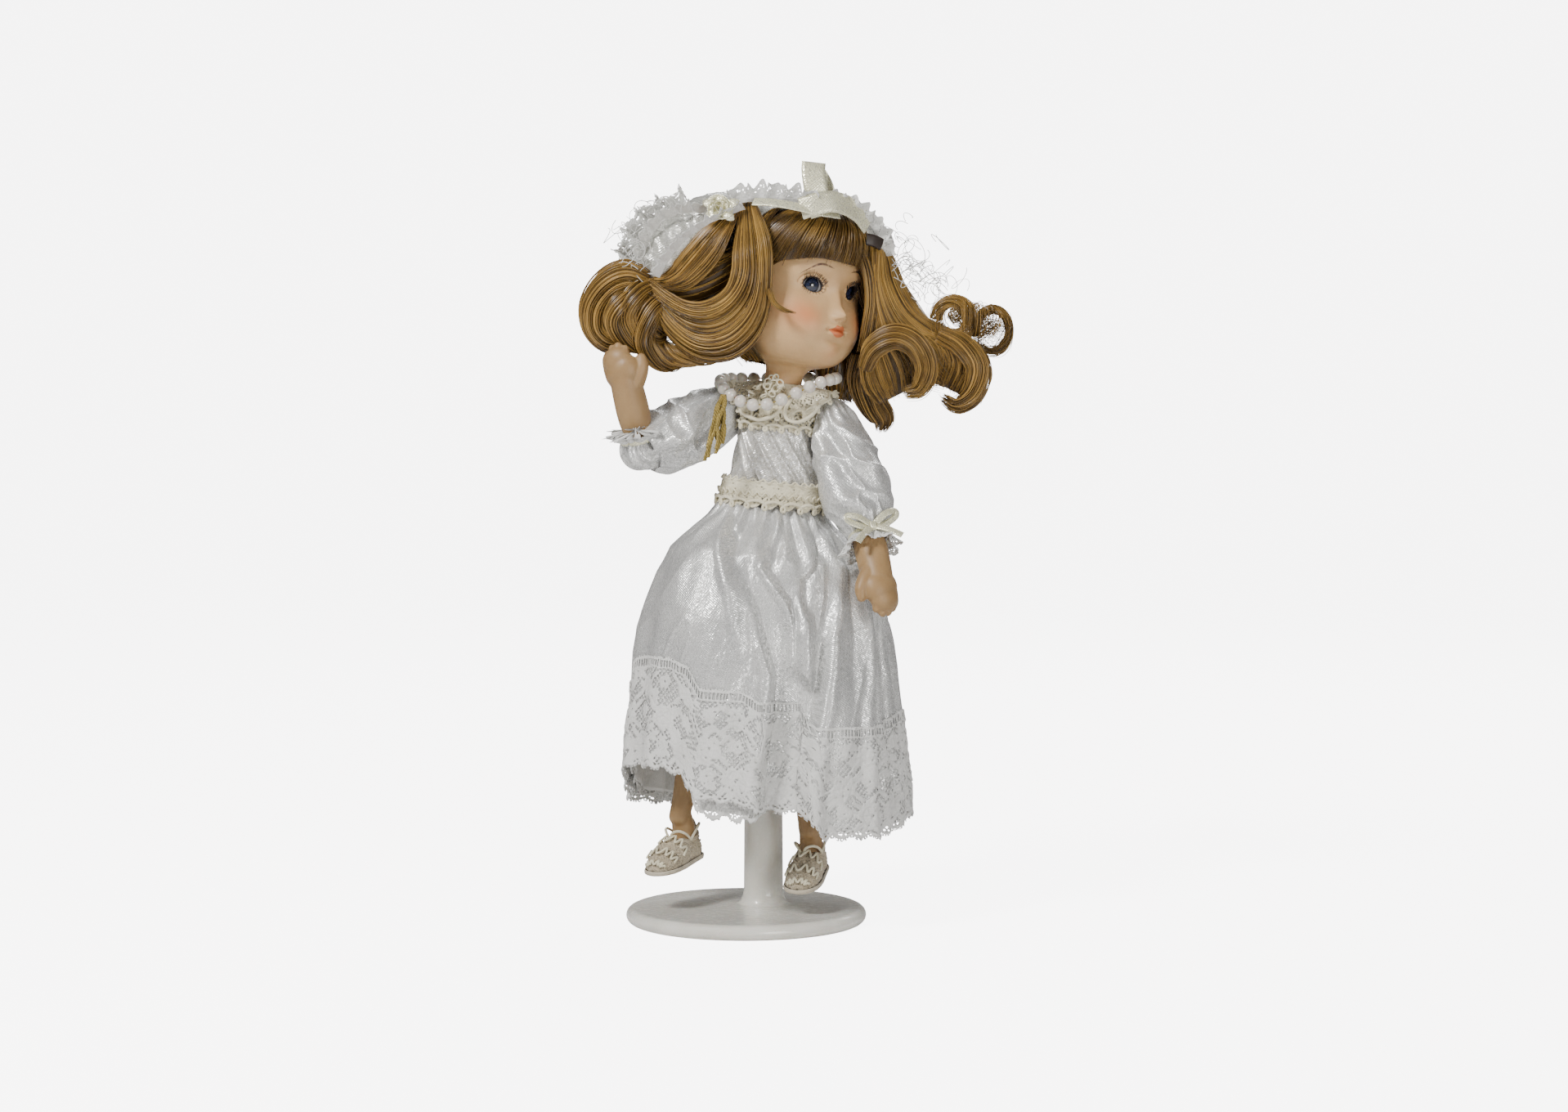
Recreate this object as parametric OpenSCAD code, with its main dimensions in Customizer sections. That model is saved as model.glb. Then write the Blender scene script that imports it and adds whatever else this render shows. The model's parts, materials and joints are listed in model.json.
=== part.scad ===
// Porcelain doll in a satin and lace gown, straddling a display stand.
// Origin at the centre of the stand's underside, +Z up, the doll's front towards -Y.

/* [Stand] */
// Diameter of the round base
base_d = 94; // [88:1:110]
// Thickness of the round base
base_t = 6; // [5:0.5:8]
// Diameter of the moulded column
column_d = 15.5; // [15:0.5:16.5]
// Height of the top of the column
column_top = 70; // [60:1:80]
// Diameter of the sliding rod
rod_d = 9; // [8:0.5:9]

/* [Doll] */
// Height of the crotch above the base's underside
seat_z = 127; // [126:1:132]
// Lean of the body towards +X, in degrees
body_lean = 6; // [4:1:6]
// Turn of the body about its spine, in degrees
body_turn = -13; // [-16:1:-10]
// Length of each upper arm
upper_arm_len = 42; // [41:0.5:43]
// Thickness of the porcelain
porcelain_t = 2; // [1.5:0.1:2.4]
// Turn of the head, in degrees from straight ahead
head_yaw = 43; // [35:1:45]

/* [Clothes] */
// Half width of the skirt at its hem
hem_rx = 57; // [54:1:58]
// Half depth of the skirt at its hem
hem_ry = 50; // [48:1:52]
// Diameter of one pearl
pearl_d = 5; // [4:0.1:5.2]
// Thickness of the gown's cloth
cloth_t = 0.7; // [0.6:0.1:0.9]

/* [Hidden] */

porcelain = "#d9a88c";
stand_white = "#e9e7e2";
cotton = "#e6dccb";
satin = "#e4e4e6";
lace = "#ede5d6";
hair_gold = "#b08a52";
metal = "#b8bcc0";

running = 0.05;                 // radial clearance of a running fit
post = [6.7, 8, 0];             // axis of the stand's column
hip = [6, 6, seat_z];           // foot of the spine
neck_z = 84.6;                  // height of the neck joint along the spine
head_lean = 7;                  // lean of the neck axis
head_roll = 3;                  // tilt of the head on its neck
head_up = 34.5;                 // head centre above the neck joint
shoulder_x = 20;                // shoulder joint from the spine
shoulder_z = 72;
arm_plane = 15.4;               // plane that parts each sleeve from the bodice
rod_foot = 20;
rod_top = 116;
saddle_top = 126.4;
finger_top = 150;

// ---- Frames ----

function turned(p, a) = [p.x * cos(a) - p.y * sin(a), p.x * sin(a) + p.y * cos(a), p.z];
function leaned(p, a) = [p.x * cos(a) + p.z * sin(a), p.y, p.z * cos(a) - p.x * sin(a)];
function on_torso(p) = hip + leaned(turned(p, body_turn), body_lean);
function unit(v) = v / norm(v);
function mix(a, b, t) = a + (b - a) * t;
function bell(d, w) = exp(-(d / w) * (d / w));
function angle_from(a, b) = abs(((a - b + 540) % 360) - 180);

neck = on_torso([0, 0, neck_z]);
left_shoulder = on_torso([shoulder_x, 0, shoulder_z]);
right_shoulder = on_torso([-shoulder_x, 0, shoulder_z]);
left_elbow = left_shoulder + upper_arm_len * unit([12.6, -14.5, -37.6]);
right_elbow = right_shoulder + upper_arm_len * unit([-34, -18.5, -16]);
left_reach = unit([8, -25, -37]);
right_reach = unit([-8.5, -10, 38]);
left_hip = on_torso([13.5, 0, -6]);
right_hip = on_torso([-13.5, 0, -6]);
left_knee = [21.4, -5.5, 78];
right_knee = [-16.5, 3.5, 82];
left_ankle = [24.5, -8, 38];
right_ankle = [-26, 2, 42];

module on_spine() translate(hip) rotate([0, body_lean, 0]) rotate([0, 0, body_turn]) children();
module on_neck() translate(neck) rotate([0, head_lean, 0]) rotate([0, 0, head_yaw]) children();
module on_head() on_neck() translate([0, -1.5, head_up]) rotate([0, head_roll, 0]) children();
module on_bolt() on_neck() translate([0, 0, -neck_z]) children();

// Stands children, built along +Z, on a, pointing at b
module aim(a, b) {
    d = b - a;
    translate(a) rotate([0, acos(d.z / norm(d)), atan2(d.y, d.x)]) children();
}

// ---- Shapes ----

function arc(c, r, a0, a1, n = 7) =
    [for (i = [0:n]) let (a = mix(a0, a1, i / n)) [c.x + r * cos(a), c.y + r * sin(a)]];

// Round-ended limb from the origin up to len
module limb(r0, r1, len) {
    rotate_extrude($fn = 48)
        polygon(concat(arc([0, 0], r0, -90, 0), arc([0, len], r1, 0, 90)));
}

module ring(r_in, r_out, h) {
    rotate_extrude($fn = 48) translate([r_in, 0]) square([r_out - r_in, h]);
}

// Free-form piece kept as one smooth skin
module moulded() resize([0, 0, 0]) children();

// Closed skin through rings of equal count, lowest first, anticlockwise from above
module loft(rings) {
    n = len(rings[0]);
    m = len(rings);
    polyhedron(
        points = [for (r = rings) for (p = r) p],
        faces = concat(
            [for (i = [0:m - 2]) for (j = [0:n - 1])
                let (k = i + 1, l = (j + 1) % n) [i * n + j, k * n + j, k * n + l, i * n + l]],
            [[for (j = [0:n - 1]) j]],
            [[for (j = [n - 1:-1:0]) (m - 1) * n + j]]));
}

// Each profile row is [z, half width, half depth]; grow is added to both
function ovals(profile, grow = 0, n = 26) =
    [for (s = profile)
        [for (i = [0:n - 1]) let (a = 360 * i / n)
            [(s[1] + grow) * cos(a), (s[2] + grow) * sin(a), s[0]]]];

module blob(centre, size, tilt = [0, 0, 0], fn = 18) {
    translate(centre) rotate(tilt) scale(size) sphere(1, $fn = fn);
}

// ---- Stand ----

module stand_base() {
    rim = base_t / 2;
    foot_r = column_d / 2 + 3;
    color(stand_white) difference() {
        union() {
            rotate_extrude($fn = 120)
                polygon(concat([[0, 0]], arc([base_d / 2 - rim, rim], rim, -90, 90, 12),
                    [[0, base_t]]));
            translate([post.x, post.y, 0]) rotate_extrude($fn = 72)
                polygon(concat([[0, 1]], [[foot_r, 1], [foot_r, base_t]],
                    [for (i = [1:8]) let (a = 90 * i / 8)
                        [foot_r - 3 * sin(a), base_t + 6 * (1 - cos(a))]],
                    [[column_d / 2 - 0.4, column_top - 1], [column_d / 2 - 1.2, column_top],
                     [0, column_top]]));
        }
        translate([post.x, post.y, 8])
            cylinder(r = rod_d / 2 + running, h = column_top, $fn = 64);
    }
}

module stand_rod() {
    color(stand_white) translate([post.x, post.y, rod_foot])
        cylinder(d = rod_d, h = rod_top - rod_foot, $fn = 64);
}

// Hub on the rod's end, with one finger before and one behind the doll's body
module stand_saddle() {
    hub_r = rod_d / 2 + 1.4;
    finger_w = 10;
    front = -14.6;
    back = 14.6;
    color(stand_white) translate([post.x, post.y, 0]) difference() {
        union() {
            translate([0, 0, 103]) cylinder(r = hub_r, h = saddle_top - 103 - 1, $fn = 64);
            translate([-finger_w / 2, front - 4, saddle_top - 3])
                cube([finger_w, back - front + 6, 3]);
            for (y = [front - 4, back])
                translate([-finger_w / 2, y, saddle_top - 3])
                    cube([finger_w, 2, finger_top - saddle_top + 3]);
        }
        translate([0, 0, 100]) cylinder(r = rod_d / 2 + running, h = rod_top + running - 100, $fn = 64);
    }
}

// ---- Body ----

body_profile = [
    [0.4, 9, 7], [3, 14, 10], [10, 17.5, 12.4], [20, 16.5, 12], [30, 13.5, 10.6], [37, 12.4, 10.2],
    [46, 12.2, 10.4], [54, 11.6, 10.2], [62, 11, 9.4]
];
plate_profile = [
    [53, 14.1, 12.4], [60, 14.2, 12.5], [66, 14.1, 12], [71, 13.4, 10.8], [75, 11, 9.4],
    [78, 8.8, 8.4], [81, 7.9, 7.8], [84, 7.7, 7.7]
];

module body_cloth() {
    color(cotton) moulded() on_spine() difference() {
        loft(ovals(body_profile));
        loft(ovals(body_profile, -0.8));
    }
}

module body_stuffing() {
    color("white") moulded() on_spine() loft(ovals(body_profile, -0.8));
}

module shoulder_plate() {
    core = concat([[52, 14.1, 12.4]], [for (s = plate_profile) if (s[0] > 53 && s[0] < 80) s]);
    color(porcelain) moulded() difference() {
        on_spine() loft(ovals(plate_profile));
        on_spine() loft(ovals(core, -porcelain_t));
        on_bolt() cylinder(r = 1.9, h = neck_z, $fn = 40);
        on_bolt() translate([0, 0, neck_z + 2.4]) sphere(r = 6, $fn = 48);
    }
}

// A threaded hook bolt draws the head down on the shoulder plate through a spring
module neck_bolt() {
    color(metal) on_bolt() translate([0, 0, 66]) cylinder(r = 1.5, h = 25.5, $fn = 40);
}

module neck_washer() {
    color(metal) on_bolt() translate([0, 0, 77.1]) ring(1.6, 4.4, 0.8);
}

// Open coil between the nut and the washer
module neck_spring() {
    turns = 4;
    steps = 12;
    sides = 6;
    low = 69.6;
    rise = 6.9;
    color(metal) on_bolt() loft([for (i = [0:turns * steps]) let (a = 360 * i / steps)
        [for (j = [0:sides - 1]) let (b = -360 * j / sides)
            [(2.9 + 0.45 * cos(b)) * cos(a), (2.9 + 0.45 * cos(b)) * sin(a),
                low + rise * i / (turns * steps) + 0.45 * sin(b)]]]);
}

module neck_nut() {
    color(metal) on_bolt() translate([0, 0, 66.6]) ring(1.55, 3.6, 2.4);
}

// ---- Gown ----

bodice_profile = [
    [36, 18.8, 15], [42, 18.2, 15.2], [48, 16.8, 14.9], [54, 15.6, 14.4], [60, 15.1, 14],
    [66, 15, 13.6], [70, 14.7, 12.4], [74, 12.6, 10.8], [76.5, 10.6, 9.6]
];
collar_profile = [
    [65.5, 15.2, 14.8], [70, 15.2, 13.9], [74, 13.8, 12.2], [78, 11, 10.6], [81.5, 9.2, 9.2]
];
waist_profile = [[36.2, 20.3, 16.8], [41, 20, 16.9], [45, 19.2, 16.6]];

module bodice() {
    color(satin) moulded() on_spine() difference() {
        loft(ovals(bodice_profile));
        loft(ovals(concat([[35.9, 18.8, 15]], bodice_profile, [[77, 10.2, 9.4]]),
            -cloth_t));
    }
}

module collar_lace() {
    color(lace) moulded() on_spine() difference() {
        loft(ovals(collar_profile));
        loft(ovals(concat(bodice_profile, [[79, 8.9, 8.5], [82, 8, 7.9]]), 0.02));
    }
}

module waist_lace() {
    color(lace) moulded() on_spine() difference() {
        loft(ovals(waist_profile));
        loft(ovals([for (s = bodice_profile) if (s[0] < 50) s], 0.1));
    }
}

// Skirt rows are [share of the way down, half width, half depth]
skirt_profile = [
    [0, 19.6, 16], [0.05, 24, 20.5], [0.1, 30, 26], [0.17, 38.5, 33.5], [0.26, 44, 38], [0.38, 48.5, 41.5],
    [0.52, 51.5, 44], [0.7, 53.5, 46.5], [0.85, 55.5, 48.5], [1, hem_rx, hem_ry]
];
waist_high = 35.8;              // top of the skirt along the spine
hem_low = 38;

// The hem is lifted at the doll's right front and dips behind
function hem_z(a) =
    hem_low - 4 * sin(a) + 26 * bell(angle_from(a, 225), a > 225 ? 36 : 55);

function skirt_ring(t, rx, ry, grow, n = 36) =
    [for (i = [0:n - 1]) let (
        a = 360 * i / n,
        top = on_torso(turned([rx * cos(a) + grow * cos(a), (ry + grow) * sin(a), waist_high], -body_turn)),
        low = [9.4 + (rx + grow) * cos(a), 5 + (ry + grow) * sin(a), hem_z(a)],
        at_top = on_torso([0, 0, waist_high]),
        mid = [mix(at_top.x, 9.4, min(1, 2 * t)), mix(at_top.y, 5, min(1, 2 * t)), 0])
        t == 0 ? top : [mid.x + (rx + grow) * cos(a), mid.y + (ry + grow) * sin(a),
            mix(top.z, low.z, t)]];

skirt_steps = 7;                // rows of a skirt layer, less one

// Rows of the skirt from one share of the way down to another
function skirt_rows(from, to) =
    [for (i = [0:skirt_steps]) let (t = mix(from, to, pow(i / skirt_steps, 1.3)))
        [t, lookup(t, [for (s = skirt_profile) [s[0], s[1]]]),
            lookup(t, [for (s = skirt_profile) [s[0], s[2]]])]];

module skirt_shell(from, to, out, thick) {
    rows = skirt_rows(from, to);
    outer = [for (i = [skirt_steps:-1:0]) skirt_ring(rows[i][0], rows[i][1], rows[i][2], out)];
    inner = [for (s = rows) skirt_ring(s[0], s[1], s[2], out - thick)];
    n = len(outer[0]);
    all = concat(outer, inner);
    m = len(all);
    polyhedron(
        points = [for (r = all) for (p = r) p],
        faces = [for (i = [0:m - 1]) for (j = [0:n - 1])
            let (k = (i + 1) % m, l = (j + 1) % n) [i * n + j, k * n + j, k * n + l, i * n + l]]);
}

module skirt() {
    color(satin) moulded() skirt_shell(0, 0.97, 0, cloth_t);
}

module skirt_lace() {
    color(lace) moulded() skirt_shell(0.52, 1, 0.9, 0.8);
}

module underskirt() {
    color(lace) moulded() skirt_shell(0.3, 1, -3, cloth_t);
}

// ---- Necklace ----

pearls = 25;
necklace_mid = [12.5, 4, 212.5];

// The loop rests on the shoulders and hangs lowest at the front
function necklace_at(i) =
    let (a = 360 * i / pearls)
    necklace_mid + [22.6 * cos(a), 20 * sin(a), -10.5 * bell(angle_from(a, 250), 50)];

module necklace_pearls() {
    color("#f0e8dc") for (i = [0:pearls - 1])
        translate(necklace_at(i)) sphere(d = pearl_d - 0.1, $fn = 32);
}

module necklace_thread() {
    color("#c9a85a") difference() {
        for (i = [0:pearls - 1])
            aim(necklace_at(i), necklace_at(i + 1))
                cylinder(r = 0.25, h = norm(necklace_at(i + 1) - necklace_at(i)), $fn = 16);
        for (i = [0:pearls - 1]) translate(necklace_at(i)) sphere(d = pearl_d - 0.1, $fn = 32);
    }
}

module gold_tassel() {
    top = [-8.5, -17.6, 203];
    color("#b0953c") for (i = [0:4])
        aim(top + [0.9 * i, 0, 0], [-17 + 2.1 * i, -19.5, 177 + 3 * (i % 3)]) limb(0.4, 0.3, 24 - (i % 3));
}

// ---- Head ----

// Rows are [height, half width, face depth, back depth] about the head's centre
head_profile = [
    [-34, 7.2, 6.4, 7.2], [-29.5, 8.4, 13, 7.6], [-28, 10.5, 18.5, 9], [-24, 15.4, 22.2, 12.5],
    [-18, 19.8, 23.8, 16.5], [-12, 22.2, 24.4, 20], [-6, 23.4, 24, 23.4], [0, 24, 23.6, 25.6],
    [6, 24.2, 24.4, 27], [12, 23.6, 24.8, 26.8], [18, 21.4, 22.8, 24.4], [23, 17.6, 18.8, 20],
    [27, 12.2, 13, 13.6], [29.5, 5.6, 6, 6.2]
];
eye_x = 9.6;
eye_z = 1.5;
eye_r = 5.6;
eye_back = -17.2;

// Nose, lips, chin and cheeks stand forward of the plain oval
function face_relief(x, z) =
    4.2 * bell(x, 3.0) * bell(z + 7.4, 3.6) + 1.6 * bell(x, 5.6) * bell(z + 15.6, 2.6)
    + 1.6 * bell(x, 6) * bell(z + 24, 3.6) + 0.9 * bell(abs(x) - 12, 6) * bell(z + 11, 6)
    - 1.3 * bell(abs(x) - eye_x, 5.4) * bell(z - eye_z, 4.2);

function head_rings(grow, relief, n = 36) =
    [for (s = head_profile)
        [for (i = [0:n - 1]) let (
            a = 360 * i / n,
            x = (s[1] + grow) * cos(a),
            y = ((sin(a) < 0 ? s[2] : s[3]) + grow) * sin(a),
            front = sin(a) < -0.3 ? relief * face_relief(x, s[0]) : 0)
            [x, y - front, s[0] + (s[0] > 0 ? grow * s[0] / 29.5 : 0)]]];

module head_volume(grow = 0, relief = 1) loft(head_rings(grow, relief));

nape_tilt = -38;                // tilt of the hair line, high in front and low behind

module above_hair_line() {
    rotate([nape_tilt, 0, 0]) translate([-60, -60, 1]) cube([120, 120, 60]);
}

module head() {
    color(porcelain) moulded() difference() {
        on_head() head_volume();
        on_head() intersection() {
            head_volume(-porcelain_t, 0);
            translate([0, 0, 2]) cube([90, 90, 62], center = true);
        }
        on_head() rotate([nape_tilt, 0, 0]) translate([0, 0, 14]) cylinder(r = 14, h = 40, $fn = 36);
        on_neck() translate([0, 0, -2]) cylinder(r = 1.6, h = 14, $fn = 32);
        on_head() for (side = [-1, 1]) {
            translate([side * eye_x, 0, eye_z]) rotate([90, 0, 0])
                resize([8.6, 7, 40]) cylinder(r = 4, h = 40, $fn = 28);
            translate([side * eye_x, eye_back, eye_z]) sphere(r = eye_r + 0.15, $fn = 24);
        }
    }
}

module eyeball(side) {
    color("#1d1f2b") on_head() translate([side * eye_x, eye_back, eye_z]) sphere(r = eye_r, $fn = 48);
}

module lashes() {
    color("#2a1c14") moulded() on_head() for (side = [-1, 1]) for (i = [-2:2])
        translate([side * eye_x + 1.9 * i, -25.3 + 0.12 * i * i, eye_z + 5.2 - 0.16 * i * i])
            rotate([-62, 0, 6 * i]) translate([0, 0, -0.2]) cylinder(r1 = 0.22, r2 = 0.08, h = 2.2, $fn = 6);
}

// ---- Wig ----

module wig_cap() {
    color("#8a6f4c") moulded() on_head() difference() {
        intersection() {
            head_volume(0.9, 0);
            above_hair_line();
        }
        head_volume(0.02, 1);
        head_volume(0.02, 0);
    }
}

module hair_fringe() {
    color(hair_gold) moulded() on_head() difference() {
        intersection() {
            head_volume(4.4, 0);
            translate([-22, -60, 9]) cube([44, 56, 40]);
        }
        head_volume(0.94, 0);
        head_volume(0.1, 1);
    }
}

module hair_back() {
    color(hair_gold) moulded() on_head() difference() {
        intersection() {
            head_volume(7, 0);
            translate([-50, -3.8, -27]) cube([100, 60, 70]);
        }
        head_volume(0.94, 0);
    }
}

module around_head(grow) on_head() head_volume(grow, 0);

module left_curls() {
    blob([-10, 8, 247], [18, 17, 26]);
    blob([-23, 6, 238], [24, 15, 14], [0, 12, 0]);
    blob([-47, 0, 240], [17, 12, 13]);
}

module right_curls() {
    blob([50, 8, 243], [17, 14, 30], [0, -28, 0]);
    blob([70, 5, 221], [22, 12, 17], [0, 22, 0]);
    blob([91, 2, 240], [12, 10, 15]);
}

// Sweep of curls out to the doll's right, over the raised hand
module hair_left() {
    color(hair_gold) moulded() difference() {
        left_curls();
        around_head(7.04);
        translate([-80, -60, 180]) cube([200, 120, 44.5]);
    }
}

module hair_right() {
    color(hair_gold) moulded() difference() {
        right_curls();
        around_head(7.04);
        translate([-80, -60, 150]) cube([200, 120, 54]);
        translate([12, 6, 150]) cylinder(r = 42, h = 68, $fn = 60);
    }
}

// Loose lock that hangs behind the doll's left shoulder
module hair_tail() {
    color(hair_gold) moulded() blob([50, 16.5, 202], [6, 5, 11], [0, 12, 0]);
}

// ---- Bonnet ----

module bonnet_cut() {
    on_head() translate([-60, -14, 11]) cube([120, 74, 60]);
}

module bonnet_crown() {
    color(satin) moulded() difference() {
        intersection() {
            around_head(9);
            bonnet_cut();
        }
        around_head(7.04);
        left_curls();
        right_curls();
    }
}

module bonnet_brim() {
    color(lace) moulded() difference() {
        union() {
            blob([-20, 8, 266], [24, 22, 13], [0, -22, 0]);
            blob([44, 4, 269], [17, 15, 9], [0, 30, 0]);
        }
        around_head(9.06);
        left_curls();
        right_curls();
    }
}

// Upright ribbon loop with its ends running to the right
module bonnet_bow() {
    color(lace) moulded() difference() {
        union() {
            translate([22, -4, 284]) rotate([90, 0, 12]) difference() {
                cylinder(r = 9.4, h = 9, center = true, $fn = 48);
                cylinder(r = 8.4, h = 12, center = true, $fn = 48);
            }
            translate([33, -10, 276]) rotate([0, 14, -20]) cube([24, 9, 1], center = true);
        }
        around_head(9.06);
        blob([44, 4, 269], [17, 15, 9], [0, 30, 0]);
    }
}

module bonnet_rosette() {
    color(lace) moulded() difference() {
        blob([-8.5, -11, 279], [5.2, 4.4, 5.2]);
        around_head(9.06);
        blob([-20, 8, 266], [24, 22, 13], [0, -22, 0]);
    }
}

// ---- Arms ----

arm_r = 4.4;
wire_r = 0.8;

module upper_arm(from, to) {
    color(cotton) aim(from, to) difference() {
        limb(arm_r, arm_r, upper_arm_len);
        translate([0, 0, 2]) cylinder(r = wire_r, h = upper_arm_len - 4, $fn = 32);
    }
}

module arm_wire(from, to) {
    color(metal) aim(from, to) translate([0, 0, 2]) cylinder(r = wire_r, h = upper_arm_len - 4, $fn = 32);
}

// Porcelain forearm with its hand; twist turns the palm about the arm
module forearm(from, reach, twist, side) {
    start = 4.8;
    wrist = 24;
    color(porcelain) aim(from, from + reach) rotate([0, 0, twist]) union() {
        rotate_extrude($fn = 48) polygon([
            [0, start], [4.2, start], [4.9, start + 1.5], [4.4, start + 3], [5.2, start + 5],
            [5, start + 9], [4.2, start + 14], [3.5, wrist], [3.3, wrist + 1], [0, wrist + 1]]);
        moulded() hull() {
            blob([0, 0, wrist + 0.5], [3.3, 3, 2], fn = 14);
            blob([0, 0, wrist + 8.5], [4.7, 2.5, 4], fn = 14);
        }
        for (i = [0:3]) translate([-3.3 + 2.2 * i, 0, wrist + 9]) rotate([4, 2.5 * (i - 1.5), 0])
            limb(1.25, 1, 6.4 - 0.5 * (i - 1.5) * (i - 1.5));
        translate([side * 3.6, 0.4, wrist + 4]) rotate([0, side * 30, 0]) limb(1.5, 1.1, 6.4);
    }
}

// Gathered sleeve, flat where it meets the bodice
module sleeve(from, to, side) {
    r = 8.8;
    color(satin) difference() {
        aim(from, to) rotate_extrude($fn = 48) polygon(concat(
            arc([0, 0], r, -90, 0, 6), [[r + 0.4, 14], [r, 26], [7.4, 34], [6, 35.4], [5.2, 34.6], [6.6, 33]],
            [[r - 0.8, 26], [r - 0.4, 14]], arc([0, 0], r - 0.8, 0, -90, 6)));
        on_spine() translate([side > 0 ? arm_plane - 60 : -arm_plane, -40, 30]) cube([60, 80, 80]);
    }
}

module cuff_lace(from, reach) {
    color(lace) aim(from, from + reach) translate([0, 0, 10.2]) rotate_extrude($fn = 48)
        polygon([[5.3, 1.5], [6.8, 1.5], [8.4, -0.4], [9, 7.5], [8.3, 7.6], [6, 4.5], [5.3, 4.5]]);
}

module cuff_ribbon(from, reach, twist) {
    color(lace) aim(from, from + reach) rotate([0, 0, twist]) moulded() {
        translate([0, 0, 8.2]) ring(5.3, 6.6, 3);
        for (s = [-1, 1]) translate([0, -8, 9.7]) rotate([0, s * 38, 0]) hull() {
            translate([s * 1, 0, 0]) cube([1, 1.4, 1.4], center = true);
            translate([s * 6.6, 0, 0]) cube([1, 1, 3.2], center = true);
        }
        translate([0, -7.2, 9.7]) cube([2.4, 2.2, 2.4], center = true);
    }
}

// ---- Legs ----

module upper_leg(from, to) {
    color(cotton) aim(from, to) limb(6.6, 5.6, norm(to - from));
}

// Waxed thread that binds the cloth into the porcelain's groove
module leg_tie(from, to) {
    color("#cfc6b4") aim(from, to) translate([0, 0, 7.2]) ring(4.62, 5.6, 0.9);
}

module on_foot(ankle, yaw, pitch) translate(ankle) rotate([0, 0, yaw]) rotate([pitch, 0, 0]) children();

module foot_shape(grow) {
    hull() {
        blob([0, 2, -12], [4.6 + grow, 5.4 + grow, 4.4 + grow], fn = 14);
        blob([0, -13, -12.6], [5 + grow, 7.4 + grow, 3.6 + grow], fn = 14);
    }
    hull() {
        blob([0, 2, -12], [4.4 + grow, 5 + grow, 4 + grow], fn = 14);
        blob([0, 0, 0], [3.7 + grow, 3.7 + grow, 3.7 + grow], fn = 14);
    }
}

module lower_leg(knee, ankle, yaw, pitch) {
    far = norm(ankle - knee);
    color(porcelain) union() {
        aim(knee, ankle) rotate_extrude($fn = 48) polygon([
            [0, 6.1], [4.9, 6.1], [5.2, 6.9], [4.6, 7.2], [4.6, 8.1], [5.2, 8.4], [6.1, 12], [6.3, 16],
            [5.4, 25], [3.9, far - 4], [3.7, far], [0, far]]);
        moulded() on_foot(ankle, yaw, pitch) foot_shape(0);
    }
}

module sole_outline(grow = 0) {
    offset(r = grow) hull() {
        translate([0, 3.4]) circle(r = 4.9, $fn = 22);
        translate([0, -15.6]) circle(r = 6.2, $fn = 22);
    }
}

module shoe_sole(ankle, yaw, pitch) {
    color(cotton) moulded() on_foot(ankle, yaw, pitch) translate([0, 0, -19])
        linear_extrude(1.6) sole_outline(0.5);
}

module shoe_upper(ankle, yaw, pitch) {
    color(lace) moulded() on_foot(ankle, yaw, pitch) difference() {
        hull() {
            translate([0, 0, -17.4]) linear_extrude(1) sole_outline(0.4);
            blob([0, 2.4, -10], [5.9, 6.6, 4.4], fn = 14);
            blob([0, -13, -12.4], [6.2, 8.6, 4.6], fn = 14);
        }
        foot_shape(0.02);
        translate([0, 1, -9.5]) rotate([-14, 0, 0]) resize([13.5, 16, 12]) cylinder(r = 4, h = 12, $fn = 24);
    }
}

module shoe_strap(ankle, yaw, pitch) {
    color(lace) moulded() on_foot(ankle, yaw, pitch) for (y = [-5.4, -1.4])
        difference() {
            translate([0, y, -8.6]) rotate([90, 0, 0]) resize([14, 15, 1.4])
                cylinder(r = 5, h = 1.4, center = true, $fn = 24);
            translate([0, y, -8.6]) rotate([90, 0, 0]) resize([12.2, 13.2, 3])
                cylinder(r = 5, h = 3, center = true, $fn = 24);
            foot_shape(0.05);
            hull() {
                translate([0, 0, -17.4]) linear_extrude(1) sole_outline(0.42);
                blob([0, 2.4, -10], [5.92, 6.62, 4.42], fn = 14);
                blob([0, -13, -12.4], [6.22, 8.62, 4.62], fn = 14);
            }
            translate([-10, -20, -30]) cube([20, 40, 14]);
        }
}

left_foot = [-15, 12];          // yaw and pitch
right_foot = [-30, 8];

stand_base();
stand_rod();
stand_saddle();
body_cloth();
body_stuffing();
shoulder_plate();
neck_bolt();
neck_washer();
neck_spring();
neck_nut();
bodice();
collar_lace();
waist_lace();
skirt();
skirt_lace();
underskirt();
necklace_pearls();
necklace_thread();
gold_tassel();
head();
eyeball(1);  // eye_left
eyeball(-1);  // eye_right
lashes();
wig_cap();
hair_fringe();
hair_back();
hair_left();
hair_right();
hair_tail();
bonnet_crown();
bonnet_brim();
bonnet_bow();
bonnet_rosette();
upper_arm(left_shoulder, left_elbow);  // left_upper_arm
arm_wire(left_shoulder, left_elbow);  // left_arm_wire
forearm(left_elbow, left_reach, 40, -1);  // left_forearm
sleeve(left_shoulder, left_elbow, 1);  // left_sleeve
cuff_lace(left_elbow, left_reach);  // left_cuff_lace
cuff_ribbon(left_elbow, left_reach, 60);  // left_cuff_ribbon
upper_arm(right_shoulder, right_elbow);  // right_upper_arm
arm_wire(right_shoulder, right_elbow);  // right_arm_wire
forearm(right_elbow, right_reach, 130, 1);  // right_forearm
sleeve(right_shoulder, right_elbow, -1);  // right_sleeve
cuff_lace(right_elbow, right_reach);  // right_cuff_lace
cuff_ribbon(right_elbow, right_reach, 130);  // right_cuff_ribbon
upper_leg(left_hip, left_knee);  // left_upper_leg
leg_tie(left_knee, left_ankle);  // left_leg_tie
lower_leg(left_knee, left_ankle, left_foot[0], left_foot[1]);  // left_lower_leg
shoe_sole(left_ankle, left_foot[0], left_foot[1]);  // left_shoe_sole
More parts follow.
